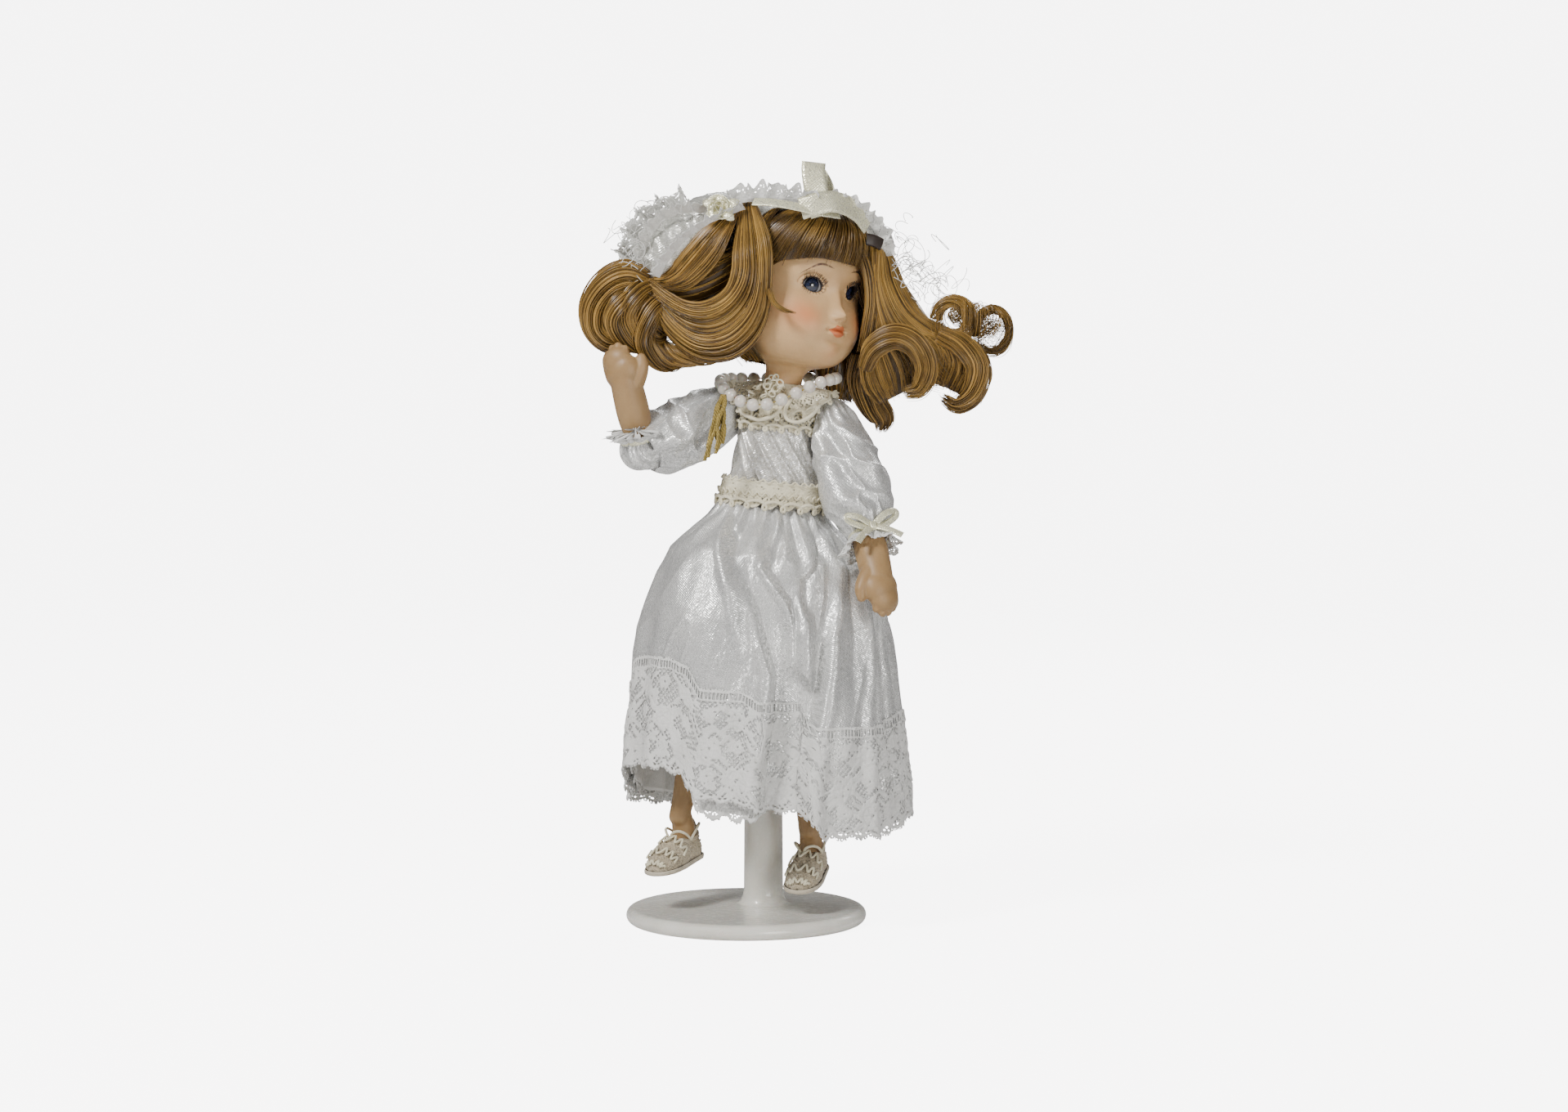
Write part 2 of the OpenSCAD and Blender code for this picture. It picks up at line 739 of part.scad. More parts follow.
shoe_upper(left_ankle, left_foot[0], left_foot[1]);  // left_shoe_upper
shoe_strap(left_ankle, left_foot[0], left_foot[1]);  // left_shoe_strap
upper_leg(right_hip, right_knee);  // right_upper_leg
leg_tie(right_knee, right_ankle);  // right_leg_tie
lower_leg(right_knee, right_ankle, right_foot[0], right_foot[1]);  // right_lower_leg
shoe_sole(right_ankle, right_foot[0], right_foot[1]);  // right_shoe_sole
shoe_upper(right_ankle, right_foot[0], right_foot[1]);  // right_shoe_upper
shoe_strap(right_ankle, right_foot[0], right_foot[1]);  // right_shoe_strap
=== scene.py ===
"""Looks of a porcelain doll in a satin and lace gown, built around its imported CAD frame."""
import json
import math

import bpy
import numpy as np
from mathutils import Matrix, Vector


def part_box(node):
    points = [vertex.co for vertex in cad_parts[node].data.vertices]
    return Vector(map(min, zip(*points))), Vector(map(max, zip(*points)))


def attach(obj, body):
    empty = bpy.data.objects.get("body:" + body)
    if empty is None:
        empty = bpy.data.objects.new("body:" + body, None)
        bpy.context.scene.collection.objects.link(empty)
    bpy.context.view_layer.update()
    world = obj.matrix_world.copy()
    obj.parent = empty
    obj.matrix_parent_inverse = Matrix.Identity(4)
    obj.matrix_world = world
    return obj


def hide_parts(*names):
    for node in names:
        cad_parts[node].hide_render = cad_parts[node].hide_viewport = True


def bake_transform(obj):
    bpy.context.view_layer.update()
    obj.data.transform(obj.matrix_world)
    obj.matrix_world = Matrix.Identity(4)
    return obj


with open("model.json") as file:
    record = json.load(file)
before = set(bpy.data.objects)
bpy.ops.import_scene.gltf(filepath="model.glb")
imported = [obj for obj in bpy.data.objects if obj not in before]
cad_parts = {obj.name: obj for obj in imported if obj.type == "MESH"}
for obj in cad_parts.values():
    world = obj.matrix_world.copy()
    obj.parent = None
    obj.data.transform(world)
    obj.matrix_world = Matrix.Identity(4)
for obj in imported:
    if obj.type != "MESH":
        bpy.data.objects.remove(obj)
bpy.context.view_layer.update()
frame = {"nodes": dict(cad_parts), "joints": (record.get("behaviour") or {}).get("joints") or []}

MM = 0.001
TAU = 2 * math.pi


# ---------------------------------------------------------------- vectors and frames


def vec(*p):
    return np.array(p, float)


def unit(v):
    v = np.asarray(v, float)
    return v / np.maximum(np.linalg.norm(v, axis=-1, keepdims=True), 1e-12)


def smooth(t):
    """An S-shaped rise from 0 at t = 0 to 1 at t = 1."""
    t = np.clip(t, 0, 1)
    return t * t * (3 - 2 * t)


def ramp(x, low, high):
    """0 at low and short of it, 1 at high and past it, a smooth rise between."""
    return smooth((np.asarray(x, float) - low) / (high - low))


def bell(x, width):
    """1 where x is 0, falling off on both sides over about the width."""
    return np.exp(-np.square(np.asarray(x, float) / width))


def turn_gap(a, b):
    """Angle between two directions round the spine, in radians."""
    return np.abs((np.asarray(a, float) - b + math.pi) % TAU - math.pi)


class Axes:
    """A frame with its origin in metres; its own points are in millimetres."""

    def __init__(self, origin, x, z):
        self.origin = vec(*origin)
        z = unit(z)
        x = unit(vec(*x) - z * np.dot(x, z))
        self.rows = np.array([x, np.cross(z, x), z])

    def at(self, points):
        """Points of this frame, in millimetres, as world points in metres."""
        return self.origin + (np.asarray(points, float) * MM) @ self.rows

    def to_local(self, points):
        return ((np.asarray(points, float) - self.origin) @ self.rows.T) / MM


joints = {j["name"]: j for j in frame["joints"]}


def joint_pos(name):
    return vec(*joints[name]["pos_m"])


def joint_axis(name):
    return vec(*joints[name]["axis"])


def centre(node):
    low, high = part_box(node)
    return (vec(*low) + vec(*high)) / 2


hip_mid = (joint_pos("left_hip") + joint_pos("right_hip")) / 2
neck = joint_pos("head_turn")
spine = unit(neck - hip_mid)
HIP_DROP = 6 * MM
TORSO = Axes(hip_mid + spine * HIP_DROP, -joint_axis("left_shoulder"), spine)

EYE_X, EYE_Y, EYE_Z = 9.6, -17.2, 1.5
eyes = {"left": centre("eye_left"), "right": centre("eye_right")}
across = unit(eyes["left"] - eyes["right"])
face_back = np.cross(joint_axis("head_turn"), across)
HEAD = Axes((0, 0, 0), across, np.cross(across, face_back))
HEAD.origin = (eyes["left"] + eyes["right"]) / 2 - np.array([0, EYE_Y, EYE_Z]) * MM @ HEAD.rows
WORLD = Axes((0, 0, 0), (1, 0, 0), (0, 0, 1))


# ---------------------------------------------------------------- camera, floor and lights

CAMERA_DISTANCE = 1.2  # in metres, as are the other places and sizes of the studio
CAMERA_HEIGHT = 0.207
CAMERA_ASIDE = 0.0148
CAMERA_TILT = math.radians(3.04)
FRAME_WIDTH = 0.61  # width of the view at the doll
SENSOR_WIDTH = 36
SWEEP_ARC = np.linspace(0.1, math.pi / 2, 12)
FLOOR_GLOW = {"lit": 0.02, "seen": 6.6}  # emission towards the object and the camera


def make_camera():
    data = bpy.data.cameras.new("camera")
    camera = bpy.data.objects.new("camera", data)
    bpy.context.scene.collection.objects.link(camera)
    camera.location = (CAMERA_ASIDE, -CAMERA_DISTANCE, CAMERA_HEIGHT)
    camera.rotation_euler = (math.pi / 2 - CAMERA_TILT, 0, 0)
    data.sensor_width = SENSOR_WIDTH
    data.lens = SENSOR_WIDTH * CAMERA_DISTANCE / FRAME_WIDTH
    data.clip_start = 0.05
    bpy.context.scene.camera = camera


make_camera()


def make_light(name, place, aim, size, power, colour=(1, 1, 1)):
    data = bpy.data.lights.new(name, "AREA")
    data.shape = "RECTANGLE"
    data.size, data.size_y = size
    data.energy = power
    data.color = colour
    light = bpy.data.objects.new(name, data)
    bpy.context.scene.collection.objects.link(light)
    light.location = place
    light.rotation_euler = (Vector(aim) - Vector(place)).to_track_quat("-Z", "Y").to_euler()


def make_studio():
    world = bpy.data.worlds.new("studio")
    bpy.context.scene.world = world
    world.use_nodes = True
    sky = world.node_tree.nodes["Background"]
    sky.inputs["Color"].default_value = (1, 0.99, 0.985, 1)
    sky.inputs["Strength"].default_value = 0.16
    middle = (0.01, 0, 0.16)
    make_light("key", (-0.75, -0.85, 1.15), middle, size=(0.32, 0.32), power=24.0,
               colour=(1, 0.985, 0.96))
    make_light("fill", (0.7, -1.3, 0.26), middle, size=(0.6, 0.6), power=10.5, colour=(1, 0.99, 0.96))
    make_light("back", (0.35, 1.0, 0.95), middle, size=(0.8, 0.5), power=9.0)
    make_sweep()


def make_sweep():
    """A round pale sweep: level under the doll, rising far behind and beside it."""
    level, far, top, spokes = 2.4, 6.0, 9.0, 96
    radii = [level] + [level + (far - level) * math.sin(a) for a in SWEEP_ARC] + [far]
    heights = [0] + [(far - level) * (1 - math.cos(a)) for a in SWEEP_ARC] + [top]
    points = [(r * math.cos(TAU * k / spokes), r * math.sin(TAU * k / spokes), z)
              for r, z in zip(radii, heights) for k in range(spokes)]
    faces = grid_faces(len(radii), spokes, True).tolist() + [list(range(spokes))]
    mesh = bpy.data.meshes.new("floor")
    mesh.from_pydata(points, [], faces)
    floor = bpy.data.objects.new("floor", mesh)
    bpy.context.scene.collection.objects.link(floor)
    paint = Nodes("floor")
    seen = paint.add("LightPath").outputs["Is Camera Ray"]
    glow = paint.span(seen, 0, 1, FLOOR_GLOW["lit"], FLOOR_GLOW["seen"])
    paint.set(**{
        "Base Color": rgb(0.8, 0.79, 0.79),
        "Roughness": 1.0,
        "Specular IOR Level": 0.0,
        "Emission Color": rgb(1, 0.985, 0.985),
        "Emission Strength": glow,
    })
    mesh.materials.append(paint.material)


# ---------------------------------------------------------------- materials


class Nodes:
    """A material's node tree, written one call at a time."""

    def __init__(self, name):
        self.material = bpy.data.materials.new(name)
        self.material.use_nodes = True
        self.tree = self.material.node_tree
        self.shader = self.tree.nodes["Principled BSDF"]

    def plug(self, socket, value):
        if isinstance(value, bpy.types.NodeSocket):
            self.tree.links.new(value, socket)
        else:
            socket.default_value = value

    def set(self, **values):
        for name, value in values.items():
            self.plug(self.shader.inputs[name], value)

    def add(self, kind, inputs=(), **settings):
        node = self.tree.nodes.new("ShaderNode" + kind)
        for name, value in settings.items():
            setattr(node, name, value)
        for name, value in dict(inputs).items():
            self.plug(node.inputs[name], value)
        return node

    def place(self):
        """Object coordinates, in metres."""
        return self.add("TexCoord").outputs["Object"]

    def cloth(self):
        """Coordinates in the cloth, in millimetres."""
        return self.add("UVMap", uv_map="cloth").outputs["UV"]

    def scaled(self, vector, scale, turn=0.0):
        size = scale if hasattr(scale, "__len__") else (scale,) * 3
        node = self.add("Mapping", {"Vector": vector, "Scale": size, "Rotation": (0, 0, turn)})
        return node.outputs["Vector"]

    def noise(self, vector, scale, detail=3.0, rough=0.5):
        inputs = {"Vector": vector, "Scale": scale, "Detail": detail, "Roughness": rough}
        return self.add("TexNoise", inputs).outputs["Fac"]

    def waves(self, vector, scale, distortion=0.0):
        inputs = {"Vector": vector, "Scale": scale, "Distortion": distortion, "Detail": 1.0}
        return self.add("TexWave", inputs).outputs["Fac"]

    def cells(self, vector, scale):
        return self.add("TexVoronoi", {"Vector": vector, "Scale": scale}).outputs["Distance"]

    def maths(self, how, a, b):
        return self.add("Math", {0: a, 1: b}, operation=how).outputs[0]

    def blend(self, share, a, b):
        node = self.add("Mix", data_type="RGBA")
        self.plug(node.inputs[0], share)
        self.plug(node.inputs[6], a)
        self.plug(node.inputs[7], b)
        return node.outputs[2]

    def span(self, value, low, high, to_low=0.0, to_high=1.0):
        inputs = {0: value, 1: low, 2: high, 3: to_low, 4: to_high}
        return self.add("MapRange", inputs, interpolation_type="SMOOTHSTEP").outputs[0]

    def mask(self, name):
        """A number painted on the mesh's points."""
        return self.add("Attribute", attribute_name=name).outputs["Fac"]

    def bump(self, height, strength, distance, under=None):
        inputs = {"Height": height, "Strength": strength, "Distance": distance}
        node = self.add("Bump", inputs)
        if under is not None:
            self.plug(node.inputs["Normal"], under)
        return node.outputs["Normal"]


def rgb(r, g, b):
    return (r, g, b, 1.0)


def satin_material(name, colour, shade, painted_glint=0.5):
    """Satin: a fine twill that catches the light in small sparks; white glints are also painted into
    its colour, with painted shade in dark specks and along the twill.
    """
    m = Nodes(name)
    uv = m.cloth()
    twill = m.waves(m.scaled(uv, 1.0, math.radians(58)), 0.42)
    weft = m.waves(m.scaled(uv, 1.0, math.radians(-32)), 0.3, 0.5)
    sparks = m.noise(m.scaled(uv, (1.0, 0.7, 1.0), math.radians(20)), 1.05, 1.5)
    cloudy = m.noise(m.place(), 60, 4.0)
    tone = m.blend(m.span(cloudy, 0.3, 0.7), rgb(*shade), rgb(*colour))
    # painted highlight: near-white glints where the spark noise is high
    tone = m.blend(m.span(sparks, 0.48, 0.62, 0, painted_glint), tone, rgb(0.97, 0.97, 0.97))
    # painted shade: dark specks where the spark noise is low
    tone = m.blend(m.span(sparks, 0.36, 0.5, 0.55, 0), tone, rgb(*[c * 0.6 for c in shade]))
    # painted shade along the twill's lines
    tone = m.blend(m.maths("MULTIPLY", twill, 0.2), tone, rgb(*[c * 0.62 for c in shade]))
    thread = m.maths("ADD", m.maths("MULTIPLY", twill, 0.7), m.maths("MULTIPLY", weft, 0.4))
    crease = m.bump(m.noise(m.place(), 210, 4.0, 0.6), 0.25, 0.0012)
    m.set(**{
        "Base Color": tone,
        "Metallic": 0.5,
        "Roughness": m.span(sparks, 0.36, 0.62, 0.54, 0.24),
        "Normal": m.bump(thread, 0.45, 0.00014, m.bump(sparks, 0.4, 0.0003, crease)),
        "Sheen Weight": 0.15,
        "Sheen Roughness": 0.4,
        "Specular IOR Level": 0.6,
    })
    return m.material


def lace_material(name, colour, shade):
    """Cotton lace: matt twisted threads, a little darker in fine specks of painted shade, as in
    hollows between the fibres.
    """
    m = Nodes(name)
    place = m.place()
    fuzz = m.noise(place, 2600, 3.0, 0.6)
    dirt = m.noise(place, 90, 4.0)
    tone = m.blend(m.span(dirt, 0.3, 0.72), rgb(*shade), rgb(*colour))
    # painted shade: fine specks darkened as if in the hollows between the fibres
    tone = m.blend(m.span(fuzz, 0.35, 0.7, 0.0, 0.3), tone, rgb(*[c * 0.72 for c in shade]))
    m.set(**{
        "Base Color": tone,
        "Roughness": 0.82,
        "Normal": m.bump(fuzz, 0.5, 0.00016),
        "Sheen Weight": 0.3,
        "Specular IOR Level": 0.3,
    })
    return m.material


def bisque_material(name, colour, shade, painted=False):
    """Unglazed tinted porcelain, with painted lips, cheeks and brows on the head."""
    m = Nodes(name)
    place = m.place()
    mottle = m.noise(place, 70, 5.0, 0.6)
    grain = m.noise(place, 2300, 2.0)
    tone = m.blend(m.span(mottle, 0.3, 0.72), rgb(*shade), rgb(*colour))
    tone = m.blend(m.span(grain, 0.3, 0.75, 0.0, 0.16), tone, rgb(*[c * 0.7 for c in shade]))
    if painted:
        streak = m.noise(m.scaled(place, (1, 1, 0.2)), 900, 2.0)
        tone = m.blend(m.maths("MULTIPLY", m.mask("blush"), 0.95), tone, rgb(0.62, 0.235, 0.09))
        brow = m.maths("MULTIPLY", m.mask("brow"), m.span(streak, 0.3, 0.6, 0.5, 1.0))
        tone = m.blend(brow, tone, rgb(0.11, 0.05, 0.02))
        tone = m.blend(m.mask("lips"), tone, rgb(0.56, 0.155, 0.055))
        tone = m.blend(m.mask("rim"), tone, rgb(0.02, 0.012, 0.01))
    m.set(**{
        "Base Color": tone,
        "Roughness": m.span(mottle, 0.3, 0.7, 0.44, 0.56),
        "Normal": m.bump(grain, 0.12, 0.0001),
        "Subsurface Weight": 0.12,
        "Subsurface Scale": 0.004,
        "Specular IOR Level": 0.45,
    })
    m.shader.inputs["Subsurface Radius"].default_value = (1.0, 0.5, 0.3)
    return m.material


def plastic_material():
    """Moulded off-white plastic, with faint flow marks, scuffs and dust."""
    m = Nodes("stand_plastic")
    place = m.place()
    flow = m.noise(m.scaled(place, (1, 1, 0.25)), 45, 3.0)
    scuff = m.noise(m.scaled(place, (1, 5, 1)), 420, 4.0, 0.7)
    dust = m.cells(place, 520)
    tone = m.blend(m.span(flow, 0.3, 0.7), rgb(0.74, 0.72, 0.65), rgb(0.84, 0.83, 0.77))
    tone = m.blend(m.span(dust, 0.05, 0.13, 0.35, 0.0), tone, rgb(0.42, 0.4, 0.36))
    m.set(**{
        "Base Color": tone,
        "Roughness": m.span(scuff, 0.45, 0.8, 0.2, 0.42),
        "Normal": m.bump(scuff, 0.06, 0.0003),
        "Coat Weight": 0.35,
        "Coat Roughness": 0.12,
        "Subsurface Weight": 0.08,
        "Subsurface Scale": 0.006,
    })
    return m.material


def hair_material(name, light, dark):
    """Synthetic hair: golden and dark locks; painted shade darkens a strand deep in its lock, and a
    painted highlight lightens the strands marked highest.
    """
    m = Nodes(name)
    place = m.place()
    lock = m.noise(place, 75, 2.0)
    strand = m.mask("strand")
    tone = m.blend(m.span(lock, 0.32, 0.68, 0.3, 1.0), rgb(*dark), rgb(*light))
    # painted shade: strands marked deep in their lock, and meshes with no mark such as the wig cap,
    # are darkened
    tone = m.blend(m.span(strand, 0.0, 0.6, 0.85, 0.0), tone, rgb(*[c * 0.4 for c in dark]))
    # painted highlight: strands marked highest are lightened
    tone = m.blend(m.span(strand, 0.7, 1.0, 0.0, 0.7), tone, rgb(*[min(1, c * 1.7) for c in light]))
    m.set(**{
        "Base Color": tone,
        "Roughness": 0.28,
        "Specular IOR Level": 0.5,
        "Anisotropic": 0.4,
    })
    return m.material


def metal_material(name, colour, rough):
    m = Nodes(name)
    brushed = m.noise(m.scaled(m.place(), (1, 1, 8)), 900, 3.0)
    m.set(**{
        "Base Color": m.blend(brushed, rgb(*[c * 0.7 for c in colour]), rgb(*colour)),
        "Metallic": 1.0,
        "Roughness": m.span(brushed, 0.3, 0.7, rough, rough + 0.2),
        "Normal": m.bump(brushed, 0.1, 0.0002),
    })
    return m.material


def pearl_material():
    m = Nodes("pearl")
    lustre = m.noise(m.place(), 320, 3.0)
    pits = m.noise(m.place(), 1900, 2.0)
    m.set(**{
        "Base Color": m.blend(lustre, rgb(0.6, 0.55, 0.47), rgb(0.8, 0.77, 0.7)),
        "Roughness": m.span(pits, 0.3, 0.7, 0.12, 0.24),
        "Normal": m.bump(pits, 0.05, 0.0002),
        "Coat Weight": 1.0,
        "Coat Roughness": 0.05,
        "Subsurface Weight": 0.15,
        "Subsurface Scale": 0.002,
        "Sheen Weight": 0.15,
    })
    return m.material


def gold_thread_material():
    m = Nodes("gold_thread")
    twist = m.waves(m.scaled(m.place(), 1.0, 0.6), 900, 1.0)
    age = m.noise(m.place(), 300, 3.0)
    tone = m.blend(age, rgb(0.2, 0.14, 0.03), rgb(0.5, 0.38, 0.12))
    m.set(**{
        "Base Color": tone,
        "Metallic": 0.55,
        "Roughness": m.span(age, 0.3, 0.7, 0.3, 0.55),
        "Normal": m.bump(twist, 0.4, 0.00015),
    })
    return m.material


# ---------------------------------------------------------------- building meshes


def make_piece(name, points, faces, material, body, uv=None, masks=None):
    """A smooth mesh from points in metres and equal-sided faces, riding on a CAD body."""
    points = np.asarray(points, float).reshape(-1, 3)
    faces = np.asarray(faces, int)
    count, sides = faces.shape
    mesh = bpy.data.meshes.new(name)
    mesh.vertices.add(len(points))
    mesh.vertices.foreach_set("co", points.ravel())
    mesh.loops.add(count * sides)
    mesh.loops.foreach_set("vertex_index", faces.ravel())
    mesh.polygons.add(count)
    mesh.polygons.foreach_set("loop_start", np.arange(count) * sides)
    mesh.polygons.foreach_set("use_smooth", np.ones(count, bool))
    mesh.update(calc_edges=True)
    if uv is not None:
        layer = mesh.uv_layers.new(name="cloth")
        layer.data.foreach_set("uv", np.asarray(uv, float).reshape(-1, 2)[faces.ravel()].ravel())
    for mask, values in (masks or {}).items():
        attribute = mesh.attributes.new(mask, "FLOAT", "POINT")
        attribute.data.foreach_set("value", np.asarray(values, float).ravel())
    mesh.validate()
    mesh.materials.append(material)
    piece = bpy.data.objects.new(name, mesh)
    bpy.context.scene.collection.objects.link(piece)
    if body:
        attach(piece, body)
    return piece


def grid_faces(rows, columns, closed):
    """Quads of a grid of points, row after row; a closed grid joins its last column to its first."""
    r = np.arange(rows - 1)[:, None]
    c = np.arange(columns if closed else columns - 1)[None, :]
    d = (c + 1) % columns
    quads = [r * columns + c, r * columns + d, (r + 1) * columns + d, (r + 1) * columns + c]
    return np.stack([np.broadcast_to(q, (rows - 1, c.shape[1])) for q in quads], -1).reshape(-1, 4)


def run_along(path):
    """Length from the path's start to each of its points."""
    return np.concatenate([[0], np.cumsum(np.linalg.norm(np.diff(path, axis=0), axis=1))])


def carried(along, first):
    """Directions square to a path's tangents, carried along it from the first without twist."""
    side = np.empty_like(along)
    side[0] = first
    for k in range(1, len(along)):
        side[k] = unit(side[k - 1] - along[k] * np.dot(side[k - 1], along[k]))
    return side


def cloth_uv(points):
    """Lengths along the middle row and down the columns, in millimetres."""
    run = run_along(points[len(points) // 2])
    drop = np.concatenate([[0], np.cumsum(np.linalg.norm(np.diff(points, axis=0), axis=2).mean(1))])
    return np.stack(np.meshgrid(run / MM, drop / MM), -1)


def add_modifier(piece, kind, **settings):
    modifier = piece.modifiers.new(kind.lower(), kind)
    for name, value in settings.items():
        setattr(modifier, name, value)
    return modifier


def make_cloth(name, points, closed, material, body, thickness=0.35):
    """A sheet from a grid of points, given a thickness in millimetres."""
    piece = make_piece(name, points, grid_faces(*points.shape[:2], closed), material, body,
                       cloth_uv(points))
    add_modifier(piece, "SOLIDIFY", thickness=thickness * MM, offset=-1)
    return piece


def make_tubes(name, paths, radii, material, body, sides, closed=False, masks=None):
    """One mesh of many tubes: paths (n, points, 3) in metres, radii in metres."""
    paths = np.asarray(paths, float)
    n, m = paths.shape[:2]
    radii = np.broadcast_to(np.asarray(radii, float), (n, m)) if np.ndim(radii) < 2 else radii
    if closed:
        along = unit(np.roll(paths, -1, 1) - np.roll(paths, 1, 1))
    else:
        along = unit(np.gradient(paths, axis=1))
    side = np.empty_like(along)
    start = np.where(np.abs(along[:, 0, 2:3]) > 0.9, vec(1, 0, 0), vec(0, 0, 1))
    side[:, 0] = unit(np.cross(along[:, 0], start))
    for k in range(1, m):
        last = side[:, k - 1]
        side[:, k] = unit(last - along[:, k] * np.sum(last * along[:, k], 1, keepdims=True))
    up = np.cross(along, side)
    angle = TAU * np.arange(sides) / sides
    ring = side[:, :, None] * np.cos(angle)[:, None] + up[:, :, None] * np.sin(angle)[:, None]
    points = paths[:, :, None] + ring * radii[:, :, None, None]
    spread = {k: np.asarray(v, float).reshape(n, m) for k, v in (masks or {}).items()}
    rows = m
    if closed:
        faces = grid_faces(m + 1, sides, True) % (m * sides)
    else:
        ends = [paths[:, e, None, None].repeat(sides, 2) + ring[:, e, None] * 1e-7 for e in (0, -1)]
        points = np.concatenate([ends[0], points, ends[1]], 1)
        spread = {k: np.concatenate([v[:, :1], v, v[:, -1:]], 1) for k, v in spread.items()}
        rows = m + 2
        faces = grid_faces(rows, sides, True)
    faces = (faces[None] + (np.arange(n) * rows * sides)[:, None, None]).reshape(-1, 4)
    spread = {k: np.repeat(v, sides) for k, v in spread.items()}
    return make_piece(name, points, faces, material, body, masks=spread)


def between(knots, share):
    """Smooth blends of the given points or curves, at shares from 0 (first) to 1 (last)."""
    t = np.asarray(share) * (len(knots) - 1)
    padded = np.concatenate([[2 * knots[0] - knots[1]], knots, [2 * knots[-1] - knots[-2]]])
    k = np.minimum(t.astype(int), len(knots) - 2)
    f = (t - k).reshape(-1, *[1] * (knots.ndim - 1))
    a, b, c, d = padded[k], padded[k + 1], padded[k + 2], padded[k + 3]
    return 0.5 * (2 * b + (c - a) * f + (2 * a - 5 * b + 4 * c - d) * f ** 2
                  + (3 * b - a - 3 * c + d) * f ** 3)


def curve_through(points, count):
    """count points along a smooth curve through the given ones."""
    return between(np.asarray(points, float), np.linspace(0, 1, count))


def value_noise(x, y, seed, period=None):
    """Smooth noise from -1 to 1 on a unit grid; period makes it repeat along x."""
    x, y = np.broadcast_arrays(np.asarray(x, float), np.asarray(y, float))
    ix, iy = np.floor(x).astype(int), np.floor(y).astype(int)
    fx, fy = smooth(x - ix), smooth(y - iy)

    def corner(i, j):
        if period:
            i = i % period
        h = (i * 374761393 + j * 668265263 + seed * 974634777) & 0xFFFFFFFF
        h = ((h ^ (h >> 13)) * 1274126177) & 0xFFFFFFFF
        return ((h ^ (h >> 16)) & 0xFFFF) / 32767.5 - 1

    low = corner(ix, iy) * (1 - fx) + corner(ix + 1, iy) * fx
    high = corner(ix, iy + 1) * (1 - fx) + corner(ix + 1, iy + 1) * fx
    return low * (1 - fy) + high * fy


def slope(grid, closed):
    """How a grid of numbers or points changes from column to column."""
    if closed:
        return (np.roll(grid, -1, 1) - np.roll(grid, 1, 1)) / 2
    return np.gradient(grid, axis=1)


def normals_of(points, closed):
    """Unit normals of a grid of points."""
    return unit(np.cross(slope(points, closed), np.gradient(points, axis=0)))


def cut_grid(points, field, closed, reach, where=True):
    """Drops a grid's cells where the field is below 0 and moves the rim onto its edge."""
    after = np.roll(field, -1, 1) if closed else field[:, 1:]
    here = field if closed else field[:, :-1]
    keep = (here[:-1] + here[1:] + after[:-1] + after[1:]).ravel() > 0
    faces = grid_faces(*field.shape, closed)[keep]
    used = np.bincount(faces.ravel(), minlength=field.size).reshape(field.shape)
    rises = slope(field, closed), np.gradient(field, axis=0)
    steep = np.maximum(rises[0] ** 2 + rises[1] ** 2, 1e-4)
    rim = (used > 0) & (used < 4) & where
    move = [np.where(rim, np.clip(-field * rise / steep, -reach, reach), 0)[..., None]
            for rise in rises]
    points = points + move[0] * slope(points, closed) + move[1] * np.gradient(points, axis=0)
    return points, faces, used, keep


# ---------------------------------------------------------------- the materials in use

WHITE_SATIN = satin_material("white_satin", (0.77, 0.77, 0.75), (0.6, 0.605, 0.6))
BODICE_SATIN = satin_material("bodice_satin", (0.82, 0.8, 0.74), (0.62, 0.6, 0.56), 0.9)
BONNET_SATIN = satin_material("bonnet_satin", (0.76, 0.76, 0.71), (0.62, 0.62, 0.57), 0.3)
WHITE_LACE = lace_material("white_lace", (0.8, 0.8, 0.78), (0.7, 0.7, 0.68))
CREAM_LACE = lace_material("cream_lace", (0.82, 0.77, 0.59), (0.72, 0.66, 0.48))
NET_LACE = lace_material("bonnet_net", (0.84, 0.84, 0.81), (0.74, 0.74, 0.71))
RIBBON = satin_material("ivory_ribbon", (0.93, 0.91, 0.68), (0.85, 0.82, 0.58), 0.12)
CROCHET = lace_material("crochet", (0.56, 0.49, 0.37), (0.44, 0.37, 0.26))
COTTON = lace_material("calico", (0.6, 0.54, 0.43), (0.5, 0.44, 0.34))
SKIN = bisque_material("bisque", (0.385, 0.243, 0.113), (0.33, 0.202, 0.09))
FACE = bisque_material("painted_bisque", (0.655, 0.425, 0.21), (0.59, 0.365, 0.172), painted=True)
PLASTIC = plastic_material()
HAIR = hair_material("hair", (0.33, 0.195, 0.052), (0.085, 0.042, 0.009))
STEEL = metal_material("steel", (0.6, 0.6, 0.62), 0.3)
PEARL = pearl_material()
GOLD = gold_thread_material()

FINISHES = {
    PLASTIC: ["stand_base", "stand_rod", "stand_saddle"],
    COTTON: ["body_cloth", "body_stuffing"],
    HAIR: ["wig_cap"],
    SKIN: ["shoulder_plate"],
    STEEL: ["neck_bolt", "neck_nut", "neck_washer", "neck_spring"],
    PEARL: ["necklace_pearls"],
    GOLD: ["necklace_thread"],
}
for side in ("left", "right"):
    FINISHES[COTTON] += [side + "_upper_arm", side + "_upper_leg", side + "_leg_tie"]
    FINISHES[STEEL].append(side + "_arm_wire")


def finish_cad_nodes():
    for material, nodes in FINISHES.items():
        for name in nodes:
            mesh = frame["nodes"][name].data
            mesh.materials.clear()
            mesh.materials.append(material)


finish_cad_nodes()
make_studio()


# ---------------------------------------------------------------- skirt

